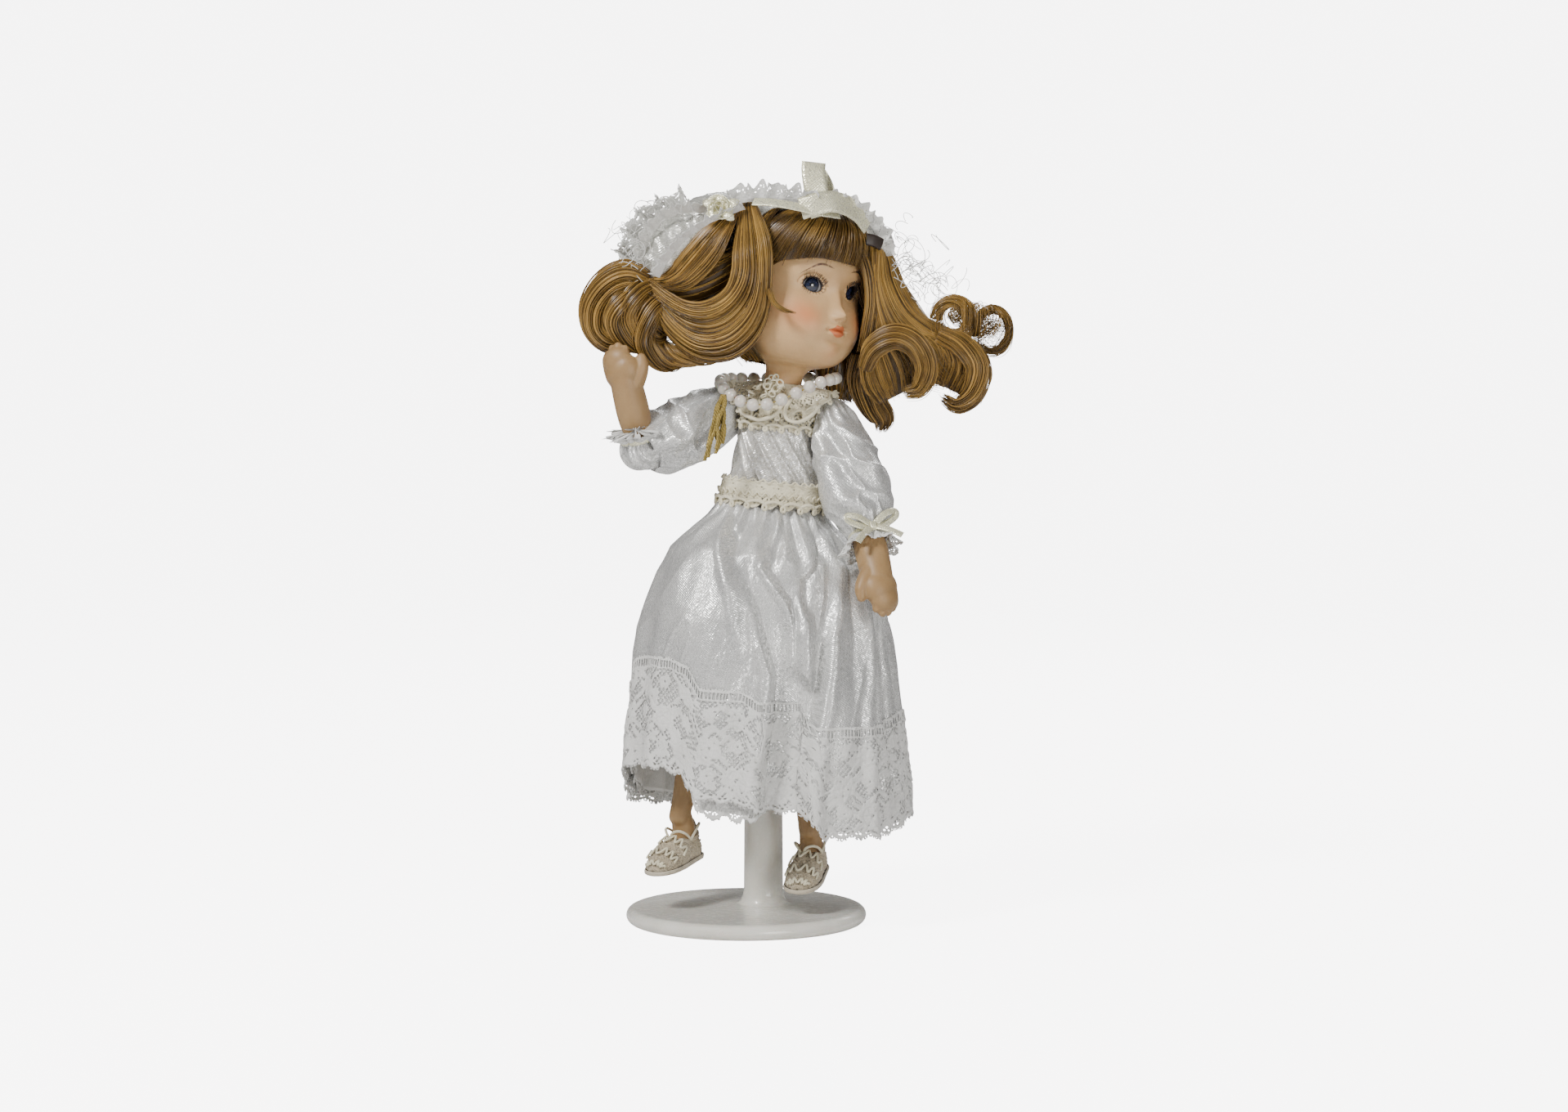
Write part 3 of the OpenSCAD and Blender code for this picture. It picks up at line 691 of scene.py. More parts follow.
SKIRT_PROFILE = np.array([  # share of the way down, half width, half depth
    [0, 19.6, 16], [0.05, 24, 20.5], [0.1, 30, 26], [0.17, 38.5, 33.5], [0.26, 44, 38],
    [0.38, 48.5, 41.5], [0.52, 51.5, 44], [0.7, 53.5, 46.5], [0.85, 55.5, 48.5], [1, 57, 50]])
SKIRT_FOOT = vec(9.4, 5)
WAIST_Z = 35.8
UNDER_HEM = np.array([  # angle round the skirt, height of the hem
    [0, 43], [45, 40], [90, 39], [125, 42], [150, 46], [170, 50], [180, 56], [200, 66], [229, 66],
    [241, 47], [262, 45], [268, 50], [284, 50], [290, 41], [330, 40], [360, 43]])
HEM = np.array([  # angle round the skirt, height of the hem
    [0, 41], [45, 38], [90, 37], [125, 40], [150, 44], [170, 48], [180, 54], [200, 64],
    [225, 65], [235, 62], [241, 54], [258, 53], [266, 49], [284, 48], [290, 39], [330, 38],
    [350, 41], [360, 41]])
LEAN = math.asin(spine[0])
SKIRT_SLANT = 1.06  # length down the flared cloth, as a share of its height


def keyed(t, *knots):
    """A value that changes evenly from knot to knot; each knot is (t, value)."""
    knots = np.array(knots, float)
    return np.interp(t, knots[:, 0], knots[:, 1])


def step(a, edge, width):
    """0 before the edge, 1 after it; all in degrees."""
    return ramp(a, edge - width / 2, edge + width / 2)


def front_folds(a, t):
    """How far the cloth stands out at angle a (degrees, 270 in front), t of the way down."""
    # the deep flat fall in front, between two edges that draw together
    left_edge = keyed(t, (0.04, 240), (0.2, 254), (0.35, 263.7), (0.55, 271.6), (0.67, 270.5),
                      (0.86, 266.5), (1, 266))
    right_edge = keyed(t, (0.05, 316), (0.18, 310), (0.39, 298), (0.6, 292), (0.71, 288),
                       (0.87, 284.6), (1, 284))
    depth = keyed(t, (0.03, 0), (0.12, 1.2), (0.35, 3.4), (0.52, 6.2), (0.65, 8.6), (0.85, 9.6),
                  (1, 9.0))
    sharp = keyed(t, (0.1, 9), (0.4, 4.2), (0.6, 2.6), (1, 2.4))
    inside = step(a, left_edge, sharp) * (1 - step(a, right_edge, sharp))
    out = -depth * inside
    # rolled lips along both edges, and the hollow beside the first
    lip = ramp(t, 0.15, 0.5)
    out += lip * 2.0 * bell(a - left_edge + 3.4, 3.2) * (a < left_edge + 4)
    out += lip * 1.9 * bell(a - right_edge - 3.2, 3.0)
    out -= lip * 1.1 * bell(a - left_edge + 11, 5)
    # the fold that runs from the right of the waist to the fall, and the full cloth beside it
    first = keyed(t, (0, 221), (0.12, 238), (0.28, 251), (0.54, 259), (1, 262))
    fade = 1 - ramp(t, 0.42, 0.62)
    out += fade * ramp(t, 0.0, 0.1) * (2.4 * bell(a - first, 3.6) - 1.6 * bell(a - first - 7, 3.5))
    out += 3.2 * bell(a - 232, 20) * bell(t - 0.36, 0.26)
    # a narrow ridge, and a tube of cloth that ends half way down
    ridge = keyed(t, (0.1, 262), (0.2, 265), (0.31, 277), (0.4, 281), (0.6, 281))
    shown = ramp(t, 0.12, 0.24) * (1 - ramp(t, 0.5, 0.58))
    out += shown * 3.0 * bell(a - ridge, 3.0)
    tube = ramp(t, 0.26, 0.36) * (1 - ramp(t, 0.535, 0.575))
    out += tube * (5.4 * bell(a - 286.5, 3.4) - 1.5 * bell(a - 281.8, 1.4))
    # a slanting fold below the waist, and two creases
    slant = keyed(t, (0, 280), (0.19, 265), (0.3, 258))
    out += (1 - ramp(t, 0.17, 0.28)) * ramp(t, 0, 0.05) * (2.0 * bell(a - slant, 3.4)
                                                           - 1.1 * bell(a - slant - 7, 3.2))
    crease = keyed(t, (0.03, 322), (0.22, 291), (0.39, 285))
    out -= ramp(t, 0.02, 0.1) * (1 - ramp(t, 0.3, 0.42)) * 1.9 * bell(a - crease, 2.6)
    crease = keyed(t, (0.03, 338), (0.25, 316), (0.6, 306))
    out -= ramp(t, 0.02, 0.1) * (1 - ramp(t, 0.4, 0.7)) * 1.5 * bell(a - crease, 3.4)
    # the left side: a full stretch, then a sunk one with fine pleats
    out += ramp(t, 0.3, 0.6) * 1.6 * bell(a - 303, 8)
    far = keyed(t, (0.2, 332), (0.35, 327), (0.67, 318), (1, 317))
    out -= ramp(t, 0.22, 0.42) * 5.4 * step(a, far, 3.2) * (1 - step(a, 368, 24))
    out += ramp(t, 0.22, 0.42) * 1.5 * bell(a - far + 3.5, 3.2)
    pleat = ramp(t, 0.1, 0.4) * bell(a - 343, 16)
    return out + pleat * (1.3 * np.cos(np.radians(a - 341) * 34) + 0.5 * np.cos(np.radians(a) * 61))


SIDE_FOLDS = [  # centre, half width (degrees), depth (mm), drift over the length (degrees)
    (14, 5, 4.2, -4), (33, 4, 5.0, 3), (52, 5.5, 4.0, -3), (71, 4, 5.4, 2), (92, 5, 4.6, 4),
    (112, 4.5, 5.2, -4), (131, 5, 4.0, 3), (149, 4, 4.8, -2), (167, 5, 3.8, 3), (186, 6, 2.4, -5),
    (204, 7, 1.8, 4)]


def skirt_out(a, t):
    """Everything that stands out from the skirt's plain oval, in millimetres."""
    wrapped = np.mod(a, 360)
    front = np.where(wrapped < 90, wrapped + 360, wrapped)
    out = front_folds(front, t)
    for middle, width, depth, drift in SIDE_FOLDS:
        gap = np.degrees(turn_gap(np.radians(a), np.radians(middle + drift * t)))
        deep = depth * ramp(t, 0.1, 0.55)
        out = out - deep * bell(gap, width) + 0.45 * deep * bell(gap - 9, width)
    turn = np.radians(a)
    wander = 0.9 * value_noise(wrapped / 30, t * 3, 5, 12)
    out = out + 0.85 * np.exp(-t / 0.07) * np.cos(33 * turn + 2.2 * wander)
    out = out + 1.3 * bell(t - 0.11, 0.08) * np.cos(17 * turn + 3 * wander)
    soft = value_noise(wrapped / 15 + 2 * t, t * 2.2, 11, 24)
    fine = value_noise(wrapped / 6 - 4 * t, t * 4.5, 12, 60)
    ridged = 1 - np.abs(value_noise(wrapped / 9 + 5 * t, t * 3.4 + wander * 0.3, 13, 40))
    sharp = np.power(np.clip(ridged, 0, 1), 5)
    grow = ramp(t, 0.0, 0.12)
    return out + grow * (0.9 * soft + 0.35 * fine + 0.55 * sharp)


def skirt_at(a, t, out=0.0, folds=1.0, hems=HEM):
    """World points (mm) of the skirt at angles a (degrees), t of the way from waist to hem."""
    a, t = np.broadcast_arrays(np.asarray(a, float), np.asarray(t, float))
    turn = np.radians(a)
    rx = np.interp(t, SKIRT_PROFILE[:, 0], SKIRT_PROFILE[:, 1])
    ry = np.interp(t, SKIRT_PROFILE[:, 0], SKIRT_PROFILE[:, 2])
    stand = out + (folds * skirt_out(a, t) if folds else 0)
    rx, ry = rx + stand, ry + stand
    hip = TORSO.origin / MM
    top_mid = hip[:2] + vec(WAIST_Z * math.sin(LEAN), 0)
    share = np.minimum(1, 2 * t)
    x = top_mid[0] + (SKIRT_FOOT[0] - top_mid[0]) * share + rx * np.cos(turn)
    y = top_mid[1] + (SKIRT_FOOT[1] - top_mid[1]) * share + ry * np.sin(turn)
    top_z = hip[2] + WAIST_Z * math.cos(LEAN) - rx * np.cos(turn) * math.sin(LEAN) * (1 - share)
    hem = np.interp(np.mod(a, 360), hems[:, 0], hems[:, 1])
    return np.stack([x, y, top_z + (hem - top_z) * t], -1)


def skirt_height(a, hems):
    """Length from waist to hem at each angle, in millimetres."""
    hem = np.interp(np.mod(a, 360), hems[:, 0], hems[:, 1])
    return (TORSO.origin[2] / MM + WAIST_Z * math.cos(LEAN) - hem) * SKIRT_SLANT


SKIRT_COLUMNS, SKIRT_ROWS = 760, 170
TURNS = np.linspace(0, 360, SKIRT_COLUMNS, endpoint=False)


def declare_sheet(points, closed):
    """Works out the drops between a cloth grid's rows and the heights of its cells, and keeps neither.
    """
    drops = np.linalg.norm(np.diff(points, axis=0), axis=2)
    height = drops if closed else (drops[:, 1:] + drops[:, :-1]) / 2


def make_skirt():
    """Satin skirt, gathered into the waist."""
    rows = np.linspace(0, 1, SKIRT_ROWS)[:, None] ** 0.9 * 0.985
    points = skirt_at(TURNS[None], rows) * MM
    skirt = make_cloth("skirt_satin", points, True, WHITE_SATIN, "torso")
    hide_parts("skirt")
    declare_sheet(points, closed=True)


make_skirt()


# ---------------------------------------------------------------- lace

DIAGONAL = 0.7071

def thread(distance, half):
    """Above 0 within half a thread's width of its middle line; all in millimetres."""
    return half - np.abs(distance)


def every(x, pitch):
    """Distance to the nearest multiple of pitch."""
    return np.mod(x + pitch / 2, pitch) - pitch / 2


def net(u, v, pitch, half):
    """Square meshes that stand on their corners."""
    a, b = (u + v) * DIAGONAL, (u - v) * DIAGONAL
    return np.maximum(thread(every(a, pitch), half), thread(every(b, pitch), half))


def flower(u, v, size, petals, spin=0.0):
    """Petals with slits between them round an open eye."""
    r, turn = np.hypot(u, v), np.arctan2(v, u) + spin
    outline = size * (0.7 + 0.3 * np.abs(np.cos(petals / 2 * turn))) - r
    slit = np.abs(np.sin(petals / 2 * turn)) * r * 0.42 - 0.13 * size / 4
    vein = np.abs(r - 0.62 * size) - 0.16
    shape = np.minimum(outline, np.maximum(slit, 0.28 * size - r))
    shape = np.minimum(shape, np.maximum(vein, 0.25 - np.abs(np.sin(petals * turn)) * 0.8))
    return np.minimum(shape, r - 0.14 * size)


def leaf(u, v, length, width, turn):
    """A pointed oval with a slit along its middle."""
    c, s = math.cos(turn), math.sin(turn)
    x, y = u * c + v * s, v * c - u * s
    shape = width * (1 - np.square(x / length)) - np.abs(y)
    return np.minimum(shape, np.maximum(np.abs(y) - 0.16, np.abs(x) - length * 0.72))


def floral_lace(width, repeat, dense=0.3):
    """Pattern of a wide lace: scalloped foot with picots, flowers on net, and a laddered head."""
    def pattern(u, v, total):
        count = max(1, round(total / repeat))
        pitch = total / count
        u2 = u + 0.5 * value_noise(u / 7, v / 7, 31) + 0.25 * value_noise(u / 2.2, v / 2.2, 32)
        v2 = v + 0.5 * value_noise(u / 7, v / 7, 33) + 0.25 * value_noise(u / 2.2, v / 2.2, 34)
        scallops = total / max(1, round(total / 8.2))
        edge = 2.0 - 1.5 * np.abs(np.sin(math.pi * u2 / scallops))
        inside = v2 - edge
        field, height = net(u2, v2, pitch=1.5, half=0.2), np.full(u.shape, 0.1)

        def lay(shape, high):
            nonlocal field, height
            height = np.where(shape > 0, np.maximum(height, high), height)
            field = np.maximum(field, shape)

        for row in range(3):
            level = width * (0.2 + 0.27 * row)
            du = every(u2 + pitch * 0.5 * (row % 2), pitch)
            lay(flower(du, v2 - level, repeat * (0.27, 0.23, 0.2)[row], petals=6 - row % 2,
                       spin=0.4 * row), 0.42)
            side = every(u2 + pitch * 0.5 * ((row + 1) % 2), pitch)
            lay(flower(side, v2 - level - 1.5, repeat * 0.13, petals=5), 0.32)
            for turn in (0.7, 2.4, -0.7, -2.4):
                at = (repeat * 0.34 * math.cos(turn), repeat * 0.26 * math.sin(turn))
                lay(leaf(du - at[0], v2 - level - at[1], repeat * 0.15, 0.95, turn), 0.34)
        vine = width * 0.34 + width * 0.1 * np.sin(TAU * u2 / pitch)
        lay(thread(v2 - vine, 0.34), 0.4)
        vine = width * 0.62 + width * 0.08 * np.sin(TAU * u2 / pitch + 2)
        lay(thread(v2 - vine, 0.3), 0.4)
        cloud = value_noise(u / 3.1, v / 3.1, 35) + 0.5 * value_noise(u / 1.3, v / 1.3, 36)
        lay(cloud - 1 + dense * 2, 0.22)
        lay(thread(inside - 0.55, 0.6), 0.5)
        lay(thread(inside - 2.1, 0.22), 0.35)
        head = v2 - (width - 4.2)
        bar = np.minimum(thread(every(u2, 1.5), 0.3), np.minimum(head, 3.6 - head))
        ladder = np.maximum(thread(head, 0.34), np.maximum(thread(head - 3.4, 0.3), bar))
        picot = thread(np.hypot(every(u2, 1.5), head - 4.0) - 0.45, 0.2)
        field = np.where(head > 0.3, -1, field)
        height = np.where(head > 0.3, 0.1, height)
        lay(np.maximum(ladder, picot), 0.4)
        field = np.minimum(field, inside)
        loops = scallops / 4
        lay(thread(np.hypot(every(u2, loops), inside + 0.35) - 0.55, 0.22), 0.3)
        return field, height
    return pattern


def edging_lace(width, repeat, picots=True):
    """Pattern of a narrow edging: a solid head, fans on net and a deeply scalloped foot."""
    def pattern(u, v, total):
        pitch = total / max(1, round(total / repeat))
        u2 = u + 0.25 * value_noise(u / 2.5, v / 2.5, 41)
        v2 = v + 0.25 * value_noise(u / 2.5, v / 2.5, 42)
        swing = np.abs(np.cos(math.pi * u2 / pitch))
        inside = v2 - repeat * 0.34 * (1 - swing)
        du = every(u2, pitch)
        field, height = net(u2, v2, pitch=1.15, half=0.17), np.full(u.shape, 0.08)
        fan = np.arctan2(v2 - width * 0.62, du)
        ribs = np.minimum(thread(every(fan, 0.42) * np.hypot(du, v2 - width * 0.62), 0.22),
                          width * 0.55 - np.hypot(du, v2 - width * 0.62))
        eye = thread(np.hypot(du, v2 - width * 0.62) - 0.95, 0.36)
        for shape, high in ((ribs, 0.26), (eye, 0.4), (thread(inside - 0.4, 0.42), 0.42),
                            (thread(inside - 1.35, 0.18), 0.3), (thread(v2 - width + 0.5, 0.5), 0.4),
                            (thread(v2 - width + 1.7, 0.24), 0.3)):
            height = np.where(shape > 0, np.maximum(height, high), height)
            field = np.maximum(field, shape)
        field = np.minimum(field, np.minimum(inside, width - v2 + 0.02))
        if picots:
            loop = thread(np.hypot(every(u2, pitch / 4), inside + 0.25) - 0.42, 0.19)
            height = np.where(loop > 0, np.maximum(height, 0.2), height)
            field = np.maximum(field, loop)
        return field, height
    return pattern


def make_lace(name, points, u, v, pattern, material, body, lift, closed=True,
              thickness=0.28, outward=1):
    """Openwork cut from a grid of points (metres): the cells outside the pattern are dropped."""
    uu, vv = np.meshgrid(u, v)
    total = u[-1] + (u[1] - u[0]) if closed else u[-1]
    field, height = pattern(uu, vv, total)
    normal = normals_of(points, closed) * outward
    points = points + normal * (lift + height)[..., None] * MM
    points, faces, used, keep = cut_grid(points, field, closed, 0.5)
    index = np.flatnonzero(used.ravel())
    renumber = np.zeros(used.size, int)
    renumber[index] = np.arange(len(index))
    uv = np.stack([uu, vv], -1).reshape(-1, 2)[index]
    piece = make_piece(name, points.reshape(-1, 3)[index], renumber[faces], material, body, uv)
    add_modifier(piece, "SOLIDIFY", thickness=thickness * MM, offset=-outward)
    piece["kept"] = float(keep.mean())
    return piece


def even_turns(ring, pitch):
    """Angles (degrees) that space a closed ring of points evenly, and their lengths in mm."""
    steps = np.linalg.norm(np.roll(ring, -1, 0) - ring, axis=1) / MM
    run = np.concatenate([[0], np.cumsum(steps)])
    count = int(run[-1] / pitch)
    length = np.arange(count) * run[-1] / count
    return np.interp(length, run, np.linspace(0, 360, len(run))), length


LACE_DROP = 1.4  # how far a tier's foot hangs below its layer's hem, mm


def skirt_lace_band(width, shape, hems, share, pitch):
    """The grid of a tier of lace on a skirt layer, its foot just below the hem."""
    ring = skirt_at(TURNS, share, hems=hems, **shape) * MM
    angle, u = even_turns(ring, pitch)
    v = np.arange(-0.6, width + 0.8, pitch)
    t = 1 - (v[:, None] - LACE_DROP) / skirt_height(angle, hems)[None]
    points = skirt_at(angle[None], t, hems=hems, **shape) * MM
    return points, u, v


def make_skirt_laces():
    """The wide lace on the skirt, and the cotton underskirt with an edging of its own."""
    width = 45
    points, u, v = skirt_lace_band(width, {"out": 0.1}, HEM, 0.85, 0.4)
    tier = make_lace("skirt_lace_tier", points, u, v, floral_lace(width, repeat=24), WHITE_LACE,
                     "torso", lift=0.5)
    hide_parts("skirt_lace")
    declare_sheet(points, closed=True)
    rows = np.linspace(0.3, 0.985, 60)[:, None]
    shape = {"out": -3.3, "folds": 0.92}
    points = skirt_at(TURNS[None, ::2], rows, hems=UNDER_HEM, **shape) * MM
    under = make_cloth("underskirt_cotton", points, True, WHITE_LACE, "torso")
    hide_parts("underskirt")
    declare_sheet(points, closed=True)
    points, u, v = skirt_lace_band(15, shape, UNDER_HEM, 0.95, 0.45)
    edge = make_lace("underskirt_lace", points, u, v, edging_lace(15, repeat=9), WHITE_LACE, "torso",
                     lift=0.3)
    declare_sheet(points, closed=True)


make_skirt_laces()


# ---------------------------------------------------------------- bodice, waist and collar

BODICE = np.array([  # height up the spine, half width, half depth
    [35.6, 18.9, 15.1], [42, 18.2, 15.2], [48, 16.8, 14.9], [54, 15.6, 14.4], [60, 15.1, 14],
    [66, 15, 13.6], [70, 14.7, 12.4], [74, 12.6, 10.8], [76.5, 10.6, 9.6], [79, 9.4, 8.9]])
WAIST = np.array([[34.6, 20.9, 17.3], [38, 20.3, 17.0], [41, 20, 16.9], [45.4, 19.2, 16.6]])
COLLAR = np.array([
    [64, 15.9, 15.4], [66, 15.6, 15.1], [70, 15.4, 14.1], [74, 14, 12.4], [78, 11.2, 10.8],
    [82.5, 9.1, 9.1]])


def torso_at(a, z, profile, out=0.0):
    """World points (metres) on an oval profile round the spine, at angles a and heights z."""
    a, z = np.broadcast_arrays(np.asarray(a, float), np.asarray(z, float))
    turn = np.radians(a)
    rx = np.interp(z, profile[:, 0], profile[:, 1]) + out
    ry = np.interp(z, profile[:, 0], profile[:, 2]) + out
    return TORSO.at(np.stack([rx * np.cos(turn), ry * np.sin(turn), z], -1))


BODICE_FOLDS = [  # middle and width (degrees), depth (mm)
    (-46, 9, 1.0), (-24, 7, 1.3), (-2, 8, 1.1), (22, 7, 1.2), (44, 9, 0.9), (70, 12, 0.8),
    (-75, 12, 0.8)]


def make_bodice():
    """Close satin bodice with slanting wrinkles across its front."""
    a, z = TURNS[None, ::2], np.linspace(35.6, 78.6, 110)[:, None]
    high = (z - 36) / 41
    slant = a - 270 + 95 * (high - 0.45)
    folds = 0.0
    for k, (middle, width, deep) in enumerate(BODICE_FOLDS):
        wave = 4 * value_noise(high * 3, k, 60)
        folds = folds + deep * bell(slant - middle - wave, width * 0.55)
    back = np.degrees(turn_gap(np.radians(a), math.pi / 2))
    folds = folds * ramp(back, 70, 110)
    folds = folds + 0.5 * value_noise(a / 24, high * 5, 61, 15)
    folds = folds + 0.3 * value_noise(a / 9, high * 9, 62, 40)
    folds = folds + 0.5 * np.cos(np.radians(a) * 26) * bell(high, 0.16)
    points = torso_at(a, z, BODICE, folds * smooth((1 - high) * 6) + 0.2)
    bodice = make_cloth("bodice_satin", points, True, BODICE_SATIN, "torso", thickness=0.3)
    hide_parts("bodice")
    declare_sheet(points, closed=True)


LOOP_POINTS = 14


def scallop_cord(name, profile, level, drop, count, out, radius, flat=0.0):
    """A round cream cord laid in loops along a band."""
    n = count * LOOP_POINTS
    phase = np.arange(n) / n
    a = 360 * phase
    swing = np.sin(math.pi * count * phase) ** 2
    z = level - drop * swing * (1 + 0.12 * value_noise(phase * count, 0.5, 70, count))
    stand = out + 0.35 * np.cos(TAU * count * phase)
    a = a + flat * (360 / count) * 0.32 * np.sin(TAU * count * phase)
    path = torso_at(a, z, profile, stand)
    make_tubes(name, path[None], radius * MM, CREAM_LACE, "torso", sides=7, closed=True)


def make_waist():
    """Lace band round the waist, with three looped cords on it."""
    angle, u = even_turns(torso_at(TURNS, 40, WAIST), 0.35)
    v = np.arange(-0.4, 11.2, 0.35)
    points = torso_at(angle[None], 34.8 + v[:, None], WAIST, 0.3)
    band = make_lace("waist_band", points, u, v, edging_lace(10.6, repeat=6.4, picots=False),
                     CREAM_LACE, "torso", lift=0.3, thickness=0.4)
    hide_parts("waist_lace")
    declare_sheet(points, closed=True)
    scallop_cord("waist_cord_low", WAIST, level=38.0, drop=3.4, count=19, out=1.5, radius=0.62, flat=1)
    scallop_cord("waist_cord_mid", WAIST, level=41.2, drop=1.6, count=38, out=1.3, radius=0.42)
    scallop_cord("waist_cord_high", WAIST, level=45.0, drop=-1.2, count=30, out=1.0, radius=0.38)


def make_collar():
    """Lace frill that stands round the neck, with three looped cords on it."""
    angle, u = even_turns(torso_at(TURNS, 70, COLLAR), 0.35)
    v = np.arange(-0.4, 17.4, 0.36)
    ruffle = 0.9 * np.cos(np.radians(angle[None]) * 15) * ramp(17 - v[:, None], 6, 17)
    points = torso_at(angle[None], 65.4 + v[:, None], COLLAR, 0.4 + ruffle)
    band = make_lace("collar_frill", points, u, v, edging_lace(17, repeat=7.2), CREAM_LACE, "torso",
                     lift=0.3, thickness=0.35)
    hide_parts("collar_lace")
    declare_sheet(points, closed=True)
    scallop_cord("collar_cord_low", COLLAR, level=67.8, drop=3.0, count=17, out=1.8, radius=0.6,
                 flat=1)
    scallop_cord("collar_cord_mid", COLLAR, level=71.5, drop=1.7, count=26, out=1.5, radius=0.42)
    scallop_cord("collar_cord_high", COLLAR, level=79.5, drop=-1.6, count=20, out=0.9, radius=0.4)


CAPE_OUT, CAPE_IN = (21.5, 17.6), (9.2, 9.1)  # half width and half depth at its two edges
CAPE_TOP, CAPE_CURVE = 83.5, 0.75


def cape_edge(turn):
    """Height of the cape's outer edge, which lies over the shoulders."""
    return 70.5 + 11.5 * np.cos(turn) ** 4


def cape_at(a, share, lift=0.0):
    """The collar's cape, from its outer edge (0) in to the neck (1)."""
    turn = np.radians(a)
    rx = CAPE_OUT[0] + (CAPE_IN[0] - CAPE_OUT[0]) * share
    ry = CAPE_OUT[1] + (CAPE_IN[1] - CAPE_OUT[1]) * share
    edge = cape_edge(turn)
    z = edge + (CAPE_TOP - edge) * np.power(np.maximum(share, 0), CAPE_CURVE) + lift
    wave = 0.8 * np.cos(turn * 17) * (1 - share)
    x, y = (rx + wave) * np.cos(turn), (ry + wave) * np.sin(turn)
    return TORSO.at(np.stack(np.broadcast_arrays(x, y, z), -1))


def make_cape():
    """A flat lace collar that lies over the shoulders, edged with a looped cord."""
    angle, u = even_turns(cape_at(TURNS, 0.3), 0.33)
    width = 13
    v = np.arange(-0.3, width + 0.3, 0.33)
    points = cape_at(angle[None], np.clip(v[:, None] / width, 0, 1))
    cape = make_lace("collar_cape", points, u, v, edging_lace(width, repeat=7.6), CREAM_LACE, "torso",
                     lift=0.2)
    declare_sheet(points, closed=True)
    loops = 24
    phase = np.arange(loops * 16) / (loops * 16)
    swing = np.sin(math.pi * loops * phase) ** 2
    a = 360 * phase + 4.6 * np.sin(TAU * loops * phase)
    loop = cape_at(a, 0.1 - 0.14 * swing, 0.7 - 1.6 * swing)
    make_tubes("collar_cape_cord", loop[None], 0.55 * MM, CREAM_LACE, "torso", sides=7,
               closed=True)


def on_cape(x, z):
    """The point of the cape's front that shows at world x, z (mm), 1 mm clear of it."""
    a = np.linspace(200, 345, 400)
    edge = cape_edge(np.radians(a))
    height = z - TORSO.origin[2] / MM
    share = np.clip((height - edge) / (CAPE_TOP - edge), 0, 1) ** (1 / CAPE_CURVE)
    points = cape_at(a, share, np.minimum(height - edge, 0))
    return points[np.argmin(np.abs(points[:, 0] - x * MM))] + vec(0.1, -1.2, 0) * MM


def make_collar_loops():
    """Two big loops of cord that hang over the chest from under the pearls."""
    loops = [[(-3, 202), (-1.5, 198), (4.3, 196), (11, 198.4), (15, 204)],
             [(17.5, 205), (15.2, 201), (15.8, 197.4), (20.2, 196.6), (25.4, 199.8), (28.5, 204)]]
    paths = [curve_through([on_cape(x, z) for x, z in loop], 60) for loop in loops]
    make_tubes("collar_loops", paths, 0.75 * MM, CREAM_LACE, "torso", sides=10)


def make_crochet_knot():
    """The crocheted knot that stands at the throat, right of the pearls' clasp."""
    rng = np.random.default_rng(3)
    paths = []
    for _ in range(26):
        middle = vec(-1.5, -17.5, 81.5) + rng.normal(size=3) * vec(2.6, 1.3, 2.4)
        a = np.linspace(0, TAU, 18, endpoint=False)
        one, two = unit(rng.normal(size=3)), unit(rng.normal(size=3))
        two = unit(two - one * np.dot(one, two))
        paths.append(TORSO.at(middle + 1.25 * (np.cos(a)[:, None] * one + np.sin(a)[:, None] * two)))
    make_tubes("collar_crochet_knot", paths, 0.33 * MM, CREAM_LACE, "torso", sides=6,
               closed=True)


make_bodice()
make_waist()
make_collar()
make_cape()
make_collar_loops()
make_crochet_knot()


# ---------------------------------------------------------------- sleeves and cuffs

ELBOW = {side: joint_pos(side + "_elbow") for side in ("left", "right")}
SHOULDER = {side: joint_pos(side + "_shoulder") for side in ("left", "right")}
REACH = {"left": unit(vec(8, -25, -37)), "right": unit(vec(-8.5, -10, 38))}
OUTSIDE = {"left": 1, "right": -1}
ARM_PLANE = 15.7  # no sleeve comes nearer to the spine than this
WRIST = {"left": 11.0, "right": 6.5}  # from the elbow to the sleeve's gathered end
BOW_SIZE = {"left": 1.28, "right": 1.0}
RISE = {"left": 0.72, "right": 0.3}  # how far the cuff's frill reaches along the arm, per width


def swept(path, radii, start, flat=1.0):
    """A grid of points round a path: path (m, 3) in metres, radii (m, n) in millimetres."""
    along = unit(np.gradient(path, axis=0))
    side = carried(along, unit(vec(*start) - along[0] * np.dot(start, along[0])))
    up = np.cross(along, side) * flat
    turn = TAU * np.arange(radii.shape[1]) / radii.shape[1]
    ring = side[:, None] * np.cos(turn)[:, None] + up[:, None] * np.sin(turn)[:, None]
    return path[:, None] + ring * radii[..., None] * MM


